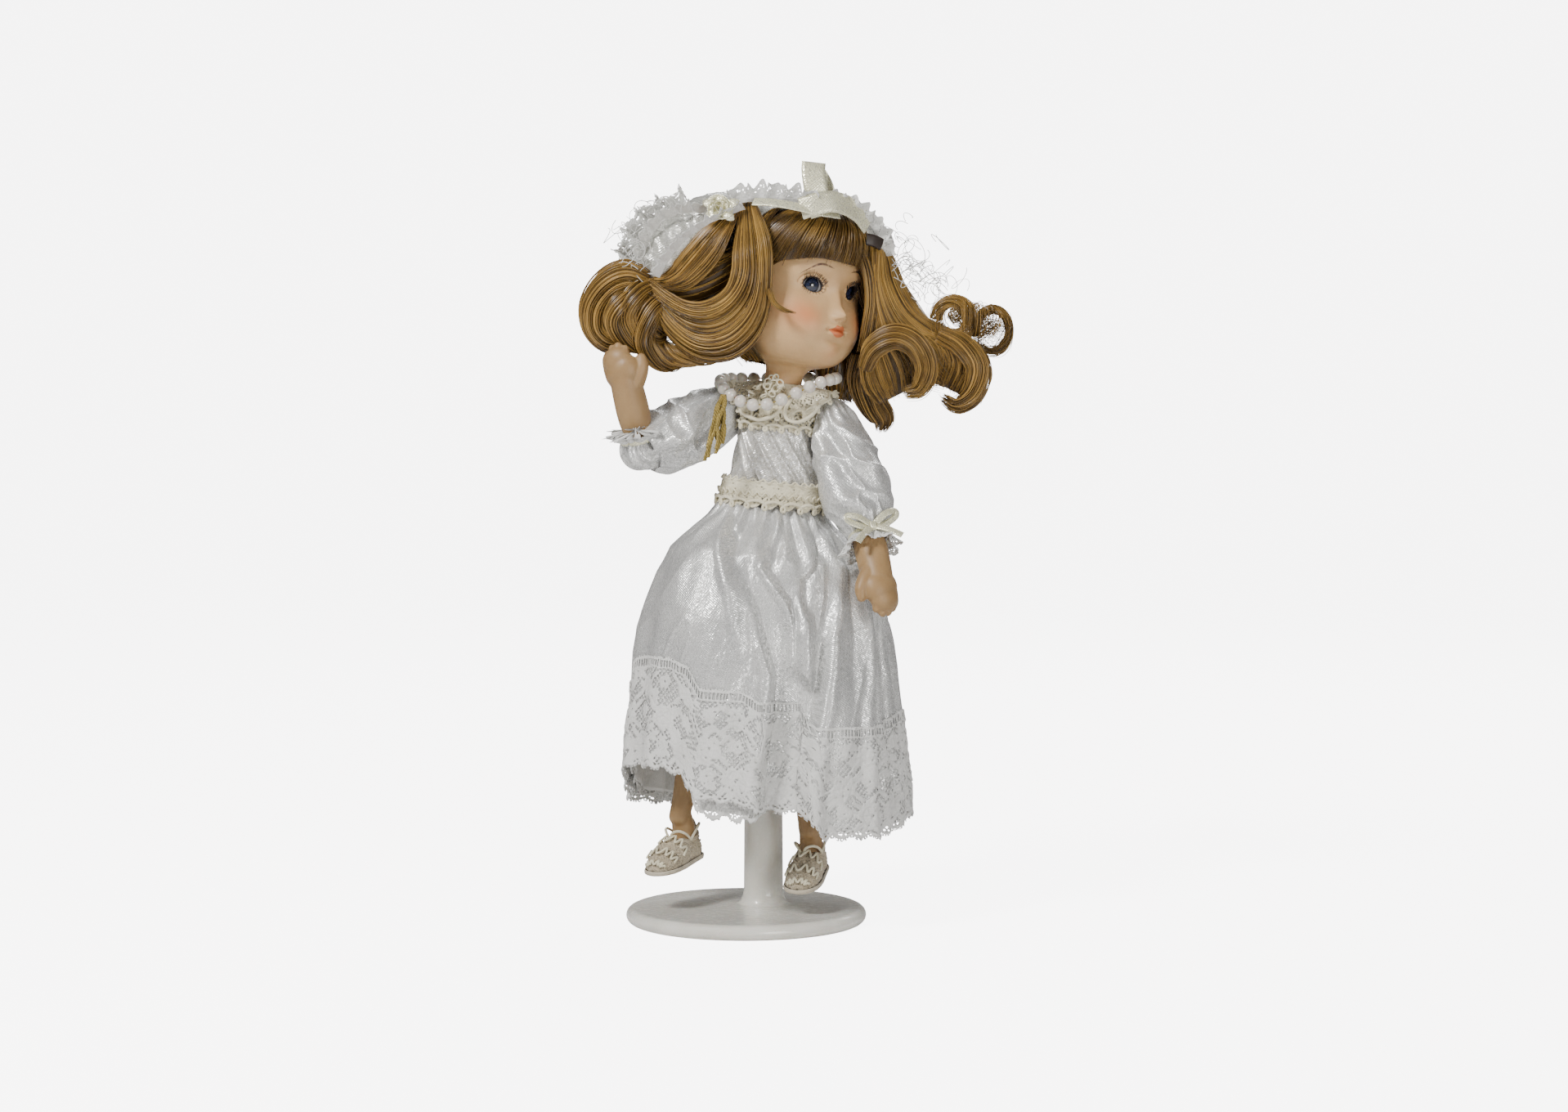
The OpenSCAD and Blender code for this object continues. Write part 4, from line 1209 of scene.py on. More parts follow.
def make_sleeve(side):
    """A puffed satin sleeve from the armhole, over the elbow, to the gathers at the cuff."""
    top, elbow, reach = SHOULDER[side], ELBOW[side], REACH[side]
    arm = unit(elbow - top)
    knots = [top - arm * 8.3 * MM, top, top + arm * 16 * MM, top + arm * 30 * MM,
             elbow - arm * 3 * MM + reach * 1.5 * MM, elbow + reach * (WRIST[side] - 5) * MM,
             elbow + reach * WRIST[side] * MM]
    path = curve_through(knots, 150)
    q = (run_along(path) / run_along(path)[-1])[:, None]
    a = np.arange(200) * TAU / 200
    seed = 80 if side == "left" else 90
    base = keyed(q, (0, 1.5), (0.02, 4.4), (0.06, 6.9), (0.13, 8.9), (0.22, 10.4), (0.4, 12.0),
                 (0.6, 12.9), (0.76, 12.6), (0.86, 10.4), (0.93, 7.6), (0.97, 6.4), (1, 6.7))
    wander = 0.7 * value_noise(a / TAU * 8, q * 3, seed, 8)
    gather = 0.75 * np.cos(15 * a + 3 * wander) * (bell(q - 0.94, 0.06) + 0.7 * bell(q - 0.14, 0.08))
    swirl = a[None] + 2.4 * q
    fold = 1.3 * np.cos(3 * swirl + 4 * wander) + 0.9 * np.cos(5 * swirl - 5 * q + 3 * wander)
    ridged = 1 - np.abs(value_noise(swirl / TAU * 12, q * 6, seed + 1, 12))
    fine = value_noise(swirl / TAU * 24, q * 14, seed + 2, 24)
    radii = base + gather + bell(q - 0.55, 0.34) * (fold + 1.4 * ridged ** 4) + 0.25 * fine
    points = swept(path, radii, (0, -1, 0))
    local = TORSO.to_local(points)
    local[..., 0] = OUTSIDE[side] * np.maximum(OUTSIDE[side] * local[..., 0], ARM_PLANE)
    points = TORSO.at(local)
    sleeve = make_cloth(side + "_sleeve_satin", points, True, WHITE_SATIN, None,
                        thickness=0.3)
    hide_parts(side + "_sleeve")
    declare_sheet(points, closed=True)
    apply_modifiers(sleeve)
    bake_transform(sleeve)


def apply_modifiers(piece):
    """Makes what a piece's modifiers do part of its mesh."""
    shown = piece.evaluated_get(bpy.context.evaluated_depsgraph_get())
    mesh = bpy.data.meshes.new_from_object(shown)
    old, piece.data = piece.data, mesh
    piece.modifiers.clear()
    bpy.data.meshes.remove(old)


def make_cuff(side):
    """A frill of lace round the wrist, gathered under the ribbon."""
    elbow, reach = ELBOW[side], REACH[side]
    count, width = 300, 8.5 if side == "left" else 10.5
    u = np.arange(count) * 0.3
    v = np.arange(-0.3, width + 0.3, 0.3)
    a = np.arange(count) * TAU / count
    q = np.clip(v / width, 0, 1)[::-1, None]
    path = elbow + reach * (WRIST[side] - 1.4 + q * width * RISE[side]) * MM
    wander = value_noise(a / TAU * 9, 0.3, 95, 9)
    ruffle = np.cos(9 * a + 2 * wander) + 0.4 * np.cos(16 * a)
    radii = 6.3 + 4.4 * q ** 0.7 + 1.7 * q * ruffle
    points = swept(path, radii, (0, -1, 0))
    frill = make_lace(side + "_cuff_frill", points, u, v, edging_lace(width, repeat=5.2), WHITE_LACE,
                      side + "_hand", lift=0.1)
    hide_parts(side + "_cuff_lace")
    declare_sheet(points, closed=True)
    levels = np.linspace(-2.4, 0.4, 12)[:, None]
    swell = 0.35 * np.sin(np.linspace(0, math.pi, 12))[:, None]
    band = swept(elbow + reach * (WRIST[side] + levels) * MM, 7.0 + 0.3 * np.cos(13 * a[None]) + swell,
                 (0, -1, 0))
    make_cloth(side + "_cuff_band", band, True, WHITE_SATIN, side + "_hand", thickness=0.4)


def make_ribbon(name, path, width, facing, body, material=RIBBON, thickness=0.28):
    """A flat ribbon along a path in metres; facing is the way its surface looks."""
    path = np.asarray(path, float)
    facing = unit(np.broadcast_to(facing, path.shape))
    side = unit(np.cross(unit(np.gradient(path, axis=0)), facing))
    s = np.linspace(-0.5, 0.5, 7)
    width = np.broadcast_to(width, len(path))
    crown = 0.18 * (1 - np.square(2 * s))
    points = (path[:, None] + side[:, None] * (s[None, :, None] * width[:, None, None]) * MM
              + facing[:, None] * crown[None, :, None] * MM)
    return make_cloth(name, points, False, material, body, thickness=thickness)


def make_cuff_bow(side):
    """A narrow ribbon tied in a bow on the front of the cuff."""
    elbow, reach = ELBOW[side], REACH[side]
    ahead = unit(vec(0.25, -1, 0) if side == "left" else vec(0.2, 1, 0.1))
    ahead = unit(ahead - reach * np.dot(ahead, reach))
    beside = np.cross(reach, ahead)
    a = np.linspace(0, TAU, 90)
    facing = beside * np.cos(a)[:, None] + ahead * np.sin(a)[:, None]
    loop = elbow + reach * (WRIST[side] - 1) * MM + facing * 7.7 * MM
    ring = make_ribbon(side + "_ribbon_ring", loop, 2.6, facing, side + "_hand")
    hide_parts(side + "_cuff_ribbon")
    bow = Axes(elbow + reach * (WRIST[side] - 1) * MM + ahead * 8.6 * MM, beside, -reach)
    out = bow.to_local(bow.origin + ahead * MM)
    out = out / np.linalg.norm(out)
    size = BOW_SIZE[side]
    for k, (x, z) in enumerate(((7.2 * size, 3.6 * size), (-7.4 * size, 4.4 * size))):
        knots = [(0, 0, 0), (x * 0.55, 0, z * 0.75), (x, 0, z), (x * 0.98, 0, z * 0.6),
                 (x * 0.5, 0, z * 0.1), (0, 0, 0)]
        depth = [0.3, 1.7, 1.2, 0.5, 0.1, 0.2]
        path = bow.at(curve_through(np.array(knots) + np.outer(depth, out), 60))
        make_ribbon(f"{side}_bow_loop_{k}", path, 2.7, ahead, side + "_hand")
    for k, (x, z) in enumerate(((6.4 * size, -6.6 * size), (-7.6 * size, -5.2 * size))):
        knots = [(0, 0, 0), (x * 0.35, 0, z * 0.3), (x * 0.75, 0, z * 0.7), (x, 0, z)]
        depth = [0.4, 1.5 * size, 2.2 * size, 2.5 * size]
        path = bow.at(curve_through(np.array(knots) + np.outer(depth, out), 40))
        make_ribbon(f"{side}_bow_tail_{k}", path, 2.7, ahead, side + "_hand")
    knot = bow.at(curve_through(np.array([(-0.2, 0, 2), (0, 0, 1), (0.1, 0, -1), (0, 0, -2)])
                                   + np.outer([0.2, 1.4, 1.4, 0.2], out), 16))
    make_ribbon(side + "_bow_knot", knot, 2.6, ahead, side + "_hand")


# ---------------------------------------------------------------- hands, legs and feet


def fused(name, parts, voxel, rounds, material, body):
    """Overlapping closed shapes joined into one smooth skin; parts are grids of points in metres."""
    points, faces, start = [], [], 0
    for part in parts:
        rows, columns = part.shape[:2]
        cap = [part[:1].mean(1, keepdims=True).repeat(columns, 1), part,
               part[-1:].mean(1, keepdims=True).repeat(columns, 1)]
        part = np.concatenate([cap[0] + (part[:1] - cap[0]) * 1e-4, part,
                               cap[2] + (part[-1:] - cap[2]) * 1e-4])
        points.append(part.reshape(-1, 3))
        faces.append(grid_faces(rows + 2, columns, True)[:, ::-1] + start)
        start += (rows + 2) * columns
    piece = make_piece(name, np.concatenate(points), np.concatenate(faces), material, body)
    add_modifier(piece, "REMESH", mode="VOXEL", voxel_size=voxel * MM, use_smooth_shade=True)
    add_modifier(piece, "SMOOTH", factor=0.5, iterations=rounds)
    apply_modifiers(piece)
    return piece


def rod(axes, knots, count=40, sides=28, flat=1.0):
    """A round-ended tube; each knot is x, y, z and radius in millimetres in the given frame."""
    knots = np.asarray(knots, float)
    line = curve_through(knots, count)

    def cap(end, out):
        """The rounding of one end, from its tip inwards."""
        return [np.append(end[:3] + out * end[3] * math.cos(math.pi / 2 * e),
                          end[3] * max(0.02, math.sin(math.pi / 2 * e)))
                for e in np.linspace(0, 1, 9)[1:-1]]

    begin = unit(line[0, :3] - line[1, :3])
    finish = unit(line[-1, :3] - line[-2, :3])
    line = np.array(cap(line[0], begin) + list(line) + cap(line[-1], finish)[::-1])
    return swept(axes.at(line[:, :3]), np.repeat(line[:, 3:4], sides, 1), axes.rows[0], flat)


def make_forearm(side):
    """Bisque forearm with a mitten-like hand: fingers moulded together, thumb apart."""
    thumb = {"right": vec(1, -0.45, 0), "left": vec(-0.75, -0.66, 0)}[side]
    arm = Axes(ELBOW[side], thumb, REACH[side])
    parts = [rod(arm, [(0, 0, 5.4, 4.8), (0, 0, 9, 5.8), (0, 0, 14, 6.4), (0, 0, 20, 6.4),
                       (0, 0, 25, 6.2), (0, 0, 28, 6.0)]),
             rod(arm, [(0, 0, 26, 5.6), (-0.4, 0, 30, 7.2), (-0.6, 0.4, 33, 7.4),
                       (-1.6, 0.8, 35.5, 6.2)], flat=0.72)]
    for k, (x, reach) in enumerate(((-6.2, 38.4), (-3.9, 40.6), (-1.5, 41.4), (0.9, 40.0))):
        lean = 0.35 * (k - 1.5)
        parts.append(rod(arm, [(x, 0.5, 32, 2.3), (x + lean * 0.3, 1.4, 36.5, 2.2),
                               (x + lean * 0.5, 3.0, reach, 1.7)], count=16, sides=18))
    parts.append(rod(arm, [(3.6, 0, 26.5, 3.6), (6.0, 1.2, 30, 3.1), (7.4, 2.4, 33.2, 2.5),
                           (7.0, 3.4, 35.8, 1.9)], count=20, sides=20))
    hand = fused(side + "_forearm_bisque", parts, voxel=0.45, rounds=5, material=SKIN,
                 body=side + "_hand")
    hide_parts(side + "_forearm")


FOOT = {"left": (math.radians(-15), math.radians(12)), "right": (math.radians(-30), math.radians(8))}
KNEE = {side: joint_pos(side + "_knee") for side in ("left", "right")}
ANKLE = {"left": vec(24.5, -8, 38) * MM, "right": vec(-26, 2, 42) * MM}


def foot_axes(side):
    """The foot's frame: origin at the ankle, x across the foot, y from toe to heel."""
    yaw, pitch = FOOT[side]
    x = vec(math.cos(yaw), math.sin(yaw), 0)
    y = vec(-math.sin(yaw) * math.cos(pitch), math.cos(yaw) * math.cos(pitch), math.sin(pitch))
    return Axes(ANKLE[side], x, np.cross(x, y))


def make_leg(side):
    """Bisque lower leg and foot, with the two turns of thread that tie it to the cloth leg."""
    knee, ankle = KNEE[side], ANKLE[side]
    shin = Axes(knee, (1, 0, 0), ankle - knee)
    foot = foot_axes(side)
    far = np.linalg.norm(ankle - knee) / MM
    parts = [rod(shin, [(0, 0, 7.4, 3.6), (0, 0, 10, 5.4), (0, 0.3, 16, 6.4), (0, 0.3, 24, 5.6),
                        (0, 0, far - 6, 4.4), (0, 0, far + 1, 4.1)]),
             rod(foot, [(0, 0.5, 2, 3.9), (0, 1.6, -5, 4.4), (0, 2.2, -12, 4.9)]),
             rod(foot, [(0, 1, -12.8, 4.2), (0, -6, -13.6, 3.4), (0, -13, -14.6, 2.6)])]
    leg = fused(side + "_leg_bisque", parts, voxel=0.5, rounds=5, material=SKIN, body=side + "_foot")
    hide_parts(side + "_lower_leg")
    groove = np.linspace(0, TAU, 60, endpoint=False)
    for level in (7.2, 8.0):
        ring = shin.at(np.stack([5.0 * np.cos(groove), 5.0 * np.sin(groove), np.full(60, level)], -1))
        tie = make_tubes(f"{side}_leg_thread_{level:.0f}", ring[None], 0.45 * MM, COTTON,
                             side + "_foot", sides=8, closed=True)
        if level < 8:
            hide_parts(side + "_leg_tie")


# ---------------------------------------------------------------- shoes

SHOE = np.array([  # place from toe to heel, half width, height of the top
    [-22.4, 0.6, -16.6], [-21.6, 3.0, -15.4], [-20, 4.9, -13.9], [-17, 6.4, -12.0],
    [-13, 6.9, -10.2], [-9, 6.8, -8.8], [-4, 6.2, -7.4], [1, 5.9, -6.4], [5, 5.6, -6.0],
    [7.4, 4.4, -6.4], [8.8, 2.2, -8.0], [9.3, 0.5, -12]])
SOLE_TOP, SOLE_BOTTOM = -17.5, -19.2
OPENING_Y = 1.2  # middle of the shoe's opening


def shoe_grid(u, v):
    """Points on the shoe's upper (foot frame, mm): u 0..1 over the arch, v 0..1 from toe to heel."""
    y = np.interp(v, np.linspace(0, 1, len(SHOE)), SHOE[:, 0])
    half = np.interp(v, np.linspace(0, 1, len(SHOE)), SHOE[:, 1])
    top = np.interp(v, np.linspace(0, 1, len(SHOE)), SHOE[:, 2])
    turn = math.pi * (1 - u)
    c, s = np.cos(turn), np.sin(turn)
    x = half * np.sign(c) * np.abs(c) ** 0.75
    return np.stack([x, y + 0 * x, SOLE_TOP + (top - SOLE_TOP) * np.abs(s) ** 0.8], -1)


def crochet_pattern(u, v):
    """Close crochet: rows of loops and shells, with small gaps between them."""
    rows = every(v, 2.1)
    shift = 0.9 * np.mod(np.floor(v / 2.1 + 0.5), 2)
    loop = np.hypot(every(u + shift, 1.8), rows)
    height = 0.25 + 0.75 * np.clip(1 - np.square((loop - 0.62) / 0.34), 0, 1)
    height = np.maximum(height, 0.55 * np.clip(1 - np.square(every(rows + 1.05, 2.1) / 0.3), 0, 1)
                        + 0.2)
    shell = flower(every(u, 7.2), every(v + 1.5, 7.4), 2.7, petals=5)
    height = np.where(shell > 0, height + 0.45, height)
    field = np.where(loop < 0.2, -0.1, 0.3) + 0 * u
    return field, height


def make_shoe(side):
    """Crochet shoe: upper, rim, standing loops and crossing cords, on a cotton sole."""
    axes = foot_axes(side)
    body = side + "_foot"
    pitch = 0.28
    u, v = np.arange(0, 27, pitch), np.arange(0, 36, pitch)
    uu, vv = np.meshgrid(u / u[-1], v / v[-1])
    local = shoe_grid(uu, vv)
    oval = 1 - np.square(local[..., 0] / 4.9) - np.square((local[..., 1] - OPENING_Y) / 7.4)
    opening = np.minimum(oval, (local[..., 2] + 12.5) / 4)

    def pattern(pu, pv, _):
        field, height = crochet_pattern(pu, pv)
        return np.where(opening > 0, -opening * 4, np.minimum(field, 0.02 - opening * 4)), height

    points = axes.at(local)
    upper = make_lace(side + "_shoe_crochet", points, u, v, pattern, CROCHET, body,
                      closed=False, lift=0.2, thickness=0.5, outward=-1)
    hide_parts(side + "_shoe_upper")
    a = np.linspace(0, TAU, 260, endpoint=False)
    level = -8.4 - 1.6 * np.abs(np.cos(a)) + 0.6 * np.sin(a)
    rim = np.stack([5.0 * np.cos(a), OPENING_Y + 7.5 * np.sin(a), level], -1)
    edge = make_tubes(side + "_shoe_rim", axes.at(rim)[None], 0.55 * MM, CROCHET, body,
                      sides=8, closed=True)
    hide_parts(side + "_shoe_strap")
    scallop = np.abs(np.sin(2 * a + 0.6)) ** 0.8
    loops = rim + np.stack([0.9 * scallop * np.cos(a), 0.9 * scallop * np.sin(a), 4.4 * scallop], -1)
    make_tubes(side + "_shoe_loops", axes.at(loops)[None], 0.52 * MM, CREAM_LACE, body,
               sides=8, closed=True)
    wave = []
    for k in range(3):
        s = np.linspace(0, 1, 150)
        row = shoe_grid(0.08 + 0.84 * s, 0.13 + 0.17 * k + 0.035 * np.sin(s * 34 + k))
        row[:, 2] += 0.9
        wave.append(axes.at(row))
    make_tubes(side + "_shoe_cords", np.array(wave), 0.45 * MM, CREAM_LACE, body, sides=7)
    outline = np.stack([shoe_grid(np.zeros(60), np.linspace(1, 0, 60)),
                        shoe_grid(np.ones(60), np.linspace(0, 1, 60))]).reshape(-1, 3)
    rows = [(0.2, -17.3), (0.7, -17.6), (0.8, -18.4), (0.5, -19), (-0.6, SOLE_BOTTOM),
            (-5.5, SOLE_BOTTOM)]
    middle = vec(0, -6.5, 0)
    grid = []
    for grow, z in rows:
        out = outline - middle
        out[:, 2] = 0
        size = np.linalg.norm(out, axis=1, keepdims=True)
        ring = middle + out * np.maximum(0.02, 1 + grow / np.maximum(size, 1))
        ring[:, 2] = z
        grid.append(ring)
    lowest = middle + vec(0, 0, SOLE_BOTTOM)
    low = lowest + (grid[-1] - lowest) * 0.01
    sole = make_piece(side + "_sole", axes.at(np.array(grid + [low])),
                      grid_faces(len(rows) + 1, 120, True), COTTON, body)
    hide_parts(side + "_shoe_sole")


for side in ("left", "right"):
    make_sleeve(side)
    make_cuff(side)
    make_cuff_bow(side)
    make_forearm(side)
    make_leg(side)
    make_shoe(side)


# ---------------------------------------------------------------- head

HEAD_SHAPE = np.array([  # height, half width, depth of the face, depth behind
    [-38, 7.3, 6.6, 7.0], [-34, 7.6, 6.8, 7.2], [-31, 7.6, 8.0, 7.4], [-28.6, 8.8, 11.5, 7.8],
    [-27.2, 12.6, 17.6, 9.2], [-25, 17.2, 21.8, 12], [-20, 21.9, 25.0, 16],
    [-14, 24.0, 25.8, 19.5], [-7, 24.6, 25.0, 23], [0, 24.2, 23.8, 25.6], [6, 24.2, 24.4, 27],
    [12, 23.6, 24.8, 26.8], [18, 21.4, 22.8, 24.4], [23, 17.6, 18.8, 20], [27, 12.2, 13, 13.6],
    [29, 6.6, 7, 7.2], [29.7, 0.2, 0.2, 0.2]])
HEAD_LINE = curve_through(HEAD_SHAPE, 200)
EYE_HALF_WIDTH, EYE_HALF_HEIGHT = 3.3, 2.6
MOUTH_Z, CROWN_Z = -12.7, 29.5
EYE_RADIUS, EYE_SEAT, IRIS_ANGLE = 5.6, 4.9, 0.54  # the glass ball, and its middle behind the lids
LOOK_Z = EYE_Z + 1.2  # the painted eyes' height
FACE_SHIFT = 1.3  # the face looks a little further to the doll's right than the wig


def head_oval(a, z, out=0.0):
    """Points of the plain head (head frame, mm); a in degrees with the face at 270."""
    a, z = np.broadcast_arrays(np.asarray(a, float), np.asarray(z, float))
    turn = np.radians(a)
    half = np.interp(z, HEAD_LINE[:, 0], HEAD_LINE[:, 1]) + out
    front = np.interp(z, HEAD_LINE[:, 0], HEAD_LINE[:, 2]) + out
    back = np.interp(z, HEAD_LINE[:, 0], HEAD_LINE[:, 3]) + out
    share = 0.5 - 0.5 * np.clip(np.sin(turn) * 4, -1, 1)
    deep = np.where(np.sin(turn) < 0, front, back)
    deep = np.where(np.abs(np.sin(turn)) < 0.25, back + (front - back) * share, deep)
    lift = np.where(z > 0, z * out / CROWN_Z, 0)
    return np.stack([half * np.cos(turn), deep * np.sin(turn), z + lift], -1)


def eye_shape(x, z):
    """Below 0 outside the lids, above 0 in the opening; about millimetres near the edge."""
    dx = (np.abs(x) - EYE_X) / EYE_HALF_WIDTH
    dz = (z - LOOK_Z - 0.5 * dx) / (EYE_HALF_HEIGHT * np.where(z > LOOK_Z, 1.05, 0.9))
    return (1 - np.abs(dx) ** 1.8 - np.abs(dz) ** 1.8) * 1.9


def face_relief(x, z):
    """How far the features stand out from the plain head, in millimetres."""
    side = np.abs(x)
    # nose: tip, bridge, wings and nostrils
    out = 4.3 * bell(x, 2.5) * bell(z + 6.8, 2.7) + 1.7 * bell(x, 2.2) * bell(z + 2.2, 4.2)
    out += (1.1 * bell(side - 2.3, 1.1) * bell(z + 8.0, 1.1)
            - 0.8 * bell(side - 1.3, 0.6) * bell(z + 9.1, 0.5))
    # mouth: the rise round it, both lips, the line between them and the hollow under the nose
    out += 1.3 * bell(x, 6.2) * bell(z - MOUTH_Z, 4.6)
    out += (1.5 * bell(x, 3.5) * bell(z - MOUTH_Z - 1.0, 1.0)
            + 1.6 * bell(x, 2.7) * bell(z - MOUTH_Z + 1.6, 1.2))
    out -= (1.3 * bell(x, 3.3) * bell(z - MOUTH_Z + 0.3, 0.34)
            + 0.3 * bell(x, 0.7) * bell(z + 9.8, 1.0))
    out -= 0.6 * bell(side - 4.1, 0.8) * bell(z - MOUTH_Z + 0.4, 1.0)
    # chin, cheeks, eye sockets and brows, then the lids
    out += 1.7 * bell(x, 4.8) * bell(z + 21.6, 3.0) - 0.7 * bell(x, 5) * bell(z + 17.2, 1.3)
    out += 2.2 * bell(side - 12, 6.5) * bell(z + 11.5, 7)
    out -= 2.6 * bell(side - EYE_X, 6.0) * bell(z - LOOK_Z, 4.8)
    out += 0.5 * bell(side - 9, 6) * bell(z - 8.8, 2.6)
    lid = eye_shape(x, z)
    return out + 0.45 * bell(lid + 1.0, 0.8) - 0.35 * bell(lid + 2.5, 0.5) * (z > LOOK_Z)


def face_y(x, z):
    """Depth of the face's surface (head frame, mm) at the face's own x and height."""
    half, front = (np.interp(z, HEAD_LINE[:, 0], HEAD_LINE[:, k]) for k in (1, 2))
    return -front * np.sqrt(1 - np.square((x - FACE_SHIFT) / half)) - face_relief(x, z)


def face_masks(x, z, front):
    """Where the face is painted, as shares from 0 to 1."""
    side = np.abs(x)
    upper = MOUTH_Z + 1.9 - 0.55 * side + 0.75 * bell(side - 1.5, 1.0) - 0.35 * bell(x, 0.6)
    lower = MOUTH_Z - 3.0 + 0.16 * np.square(x)
    within = np.minimum(np.minimum(upper - z, z - lower) * 1.6, (3.9 - side) * 1.2)
    lips = ramp(within, 0.0, 0.5) * front
    cheeks = bell(side - 13.5, 5.6) * bell(z + 9.0, 5.4)
    blush = np.maximum(cheeks, 0.28 * bell(x, 3) * bell(z + 22, 3)) * front
    arch = 9.2 + 1.9 * bell((side - 8.6) / 5.2, 1) - 0.09 * np.square(np.maximum(side - 9, 0))
    width = 0.42 * np.clip(1 - np.square((side - 9.8) / 5.6), 0, 1)
    brow = ramp(width - np.abs(z - arch), -0.16, 0.1) * (width > 0) * front
    lid = eye_shape(x, z)
    rim = (bell(lid, 0.42) + 0.9 * bell(lid + 0.3, 0.55) * (z > LOOK_Z)) * front
    spoke = np.arctan2(z - LOOK_Z, side - EYE_X)
    painted = (np.abs(every(spoke, 0.33)) < 0.045) * bell(lid + 0.9, 0.75)
    painted = painted * (np.abs(lid + 0.8) < 1.0) * front
    return {"lips": lips, "blush": np.clip(blush, 0, 1), "brow": np.clip(brow, 0, 1),
            "rim": np.clip(rim + 0.75 * painted, 0, 1)}


def make_head():
    """Painted bisque head with open eye sockets."""
    a = np.concatenate([np.linspace(206, 334, 430), np.linspace(334, 566, 130)[1:-1]])
    levels = np.concatenate([np.linspace(-38, 14, 350), np.linspace(14, 29.7, 80)[1:]])
    local = head_oval(a[None], levels[:, None])
    x, z = local[..., 0] + FACE_SHIFT, local[..., 2]
    front = ramp(-np.sin(np.radians(a[None])), 0.2, 0.45) + 0 * z
    local[..., 1] -= front * face_relief(x, z)
    masks = face_masks(x, z, front)
    field = -eye_shape(x, z) * front + 5 * (1 - front)
    points, faces = cut_grid(HEAD.at(local), field, True, 0.7, front > 0.5)[:2]
    head = make_piece("head_bisque", points, faces, FACE, "head", masks=masks)
    add_modifier(head, "SOLIDIFY", thickness=1.3 * MM, offset=-1)
    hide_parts("head")


def eye_material():
    """Glass eye: white, dark blue iris with fine spokes, black pupil, under a clear coat."""
    m = Nodes("glass_eye")
    ring, spoke = m.mask("ring"), m.mask("spoke")
    fan = m.add("CombineXYZ", {"X": m.maths("MULTIPLY", spoke, 9.0), "Y": ring})
    fibres = m.noise(fan.outputs[0], 3.0)
    iris = m.blend(m.span(fibres, 0.3, 0.7), rgb(0.004, 0.005, 0.012), rgb(0.018, 0.026, 0.065))
    iris = m.blend(m.span(ring, 0.2, 0.42, 1.0, 0.0), iris, rgb(0.001, 0.001, 0.002))
    iris = m.blend(m.span(ring, 0.8, 1.0), iris, rgb(0.003, 0.003, 0.008))
    veins = m.noise(m.place(), 900, 3.0)
    white = m.blend(m.span(veins, 0.3, 0.75), rgb(0.46, 0.43, 0.42), rgb(0.62, 0.6, 0.58))
    m.set(**{
        "Base Color": m.blend(m.span(ring, 0.96, 1.06), iris, white),
        "Roughness": m.span(veins, 0.3, 0.7, 0.05, 0.09),
        "Coat Weight": 1.0,
        "Coat Roughness": 0.02,
        "Specular IOR Level": 0.6,
    })
    return m.material


def make_eyes():
    """Glass eyes, each a ball with a raised cornea, behind the openings of the lids."""
    material = eye_material()
    polar = np.linspace(0.0, math.pi, 100)[:, None]
    turn = np.linspace(0, TAU, 96, endpoint=False)[None]
    for side, sign in OUTSIDE.items():
        middle = vec(sign * EYE_X - FACE_SHIFT, face_y(sign * EYE_X, LOOK_Z), LOOK_Z)
        look = unit(middle * vec(1, 1, 0))
        gaze = Axes(HEAD.at(middle - EYE_SEAT * look), HEAD.rows[0], look @ HEAD.rows)
        bulge = EYE_RADIUS + 0.28 * bell(polar, 0.42)
        local = np.stack([bulge * np.sin(polar) * np.cos(turn), bulge * np.sin(polar) * np.sin(turn),
                          bulge * np.cos(polar) + 0 * turn], -1)
        ring = polar / IRIS_ANGLE + 0 * turn
        eye = make_piece(side + "_eye_glass", gaze.at(local), grid_faces(100, 96, True)[:, ::-1],
                         material, "head",
                         masks={"ring": ring, "spoke": turn / TAU + 0 * polar})
        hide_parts("eye_" + side)


def make_lashes():
    """Fine hairs that fan out from the upper and lower lids."""
    paths, radii = [], []
    rng = np.random.default_rng(7)
    for sign in (-1, 1):
        for upper, count in ((True, 20), (False, 13)):
            for k in range(count):
                angle = math.pi * (0.08 + 0.84 * k / (count - 1)) * (1 if upper else -1)
                x = EYE_X + EYE_HALF_WIDTH * 1.02 * math.cos(angle)
                half = EYE_HALF_HEIGHT * (1.06 if upper else 0.92)
                z = LOOK_Z + 0.5 * math.cos(angle) + half * math.sin(angle)
                lean = math.cos(angle) + 0.15 * rng.normal()
                length = (3.3 if upper else 1.4) * (0.8 + 0.3 * rng.random())
                rise = math.copysign(1, math.sin(angle))
                s = np.linspace(0, 1, 9)
                y = face_y(sign * x, z) - (1.6 if upper else 0.5) * np.sin(s * 1.6)
                aside = sign * (x + lean * length * 0.75 * s) - FACE_SHIFT
                paths.append(HEAD.at(np.stack([aside, y, z + rise * length * s ** 1.25], -1)))
                radii.append(np.linspace(0.16, 0.04, 9) * MM)
    lashes = make_tubes("eyelashes", paths, np.array(radii), LASH, "head", sides=5)
    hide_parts("lashes")


def lash_material():
    m = Nodes("lash")
    grain = m.noise(m.place(), 4000, 2.0)
    m.set(**{"Base Color": m.blend(grain, rgb(0.012, 0.007, 0.005), rgb(0.03, 0.018, 0.012)),
             "Roughness": 0.45})
    return m.material


LASH = lash_material()
make_head()
make_eyes()
make_lashes()


# ---------------------------------------------------------------- hair

SWEEP_FULLNESS, CLUMP_FULLNESS, LOCK_FULLNESS = 1.35, 1.5, 1.3  # times the counts asked for
STRAND_SIZE = 0.84


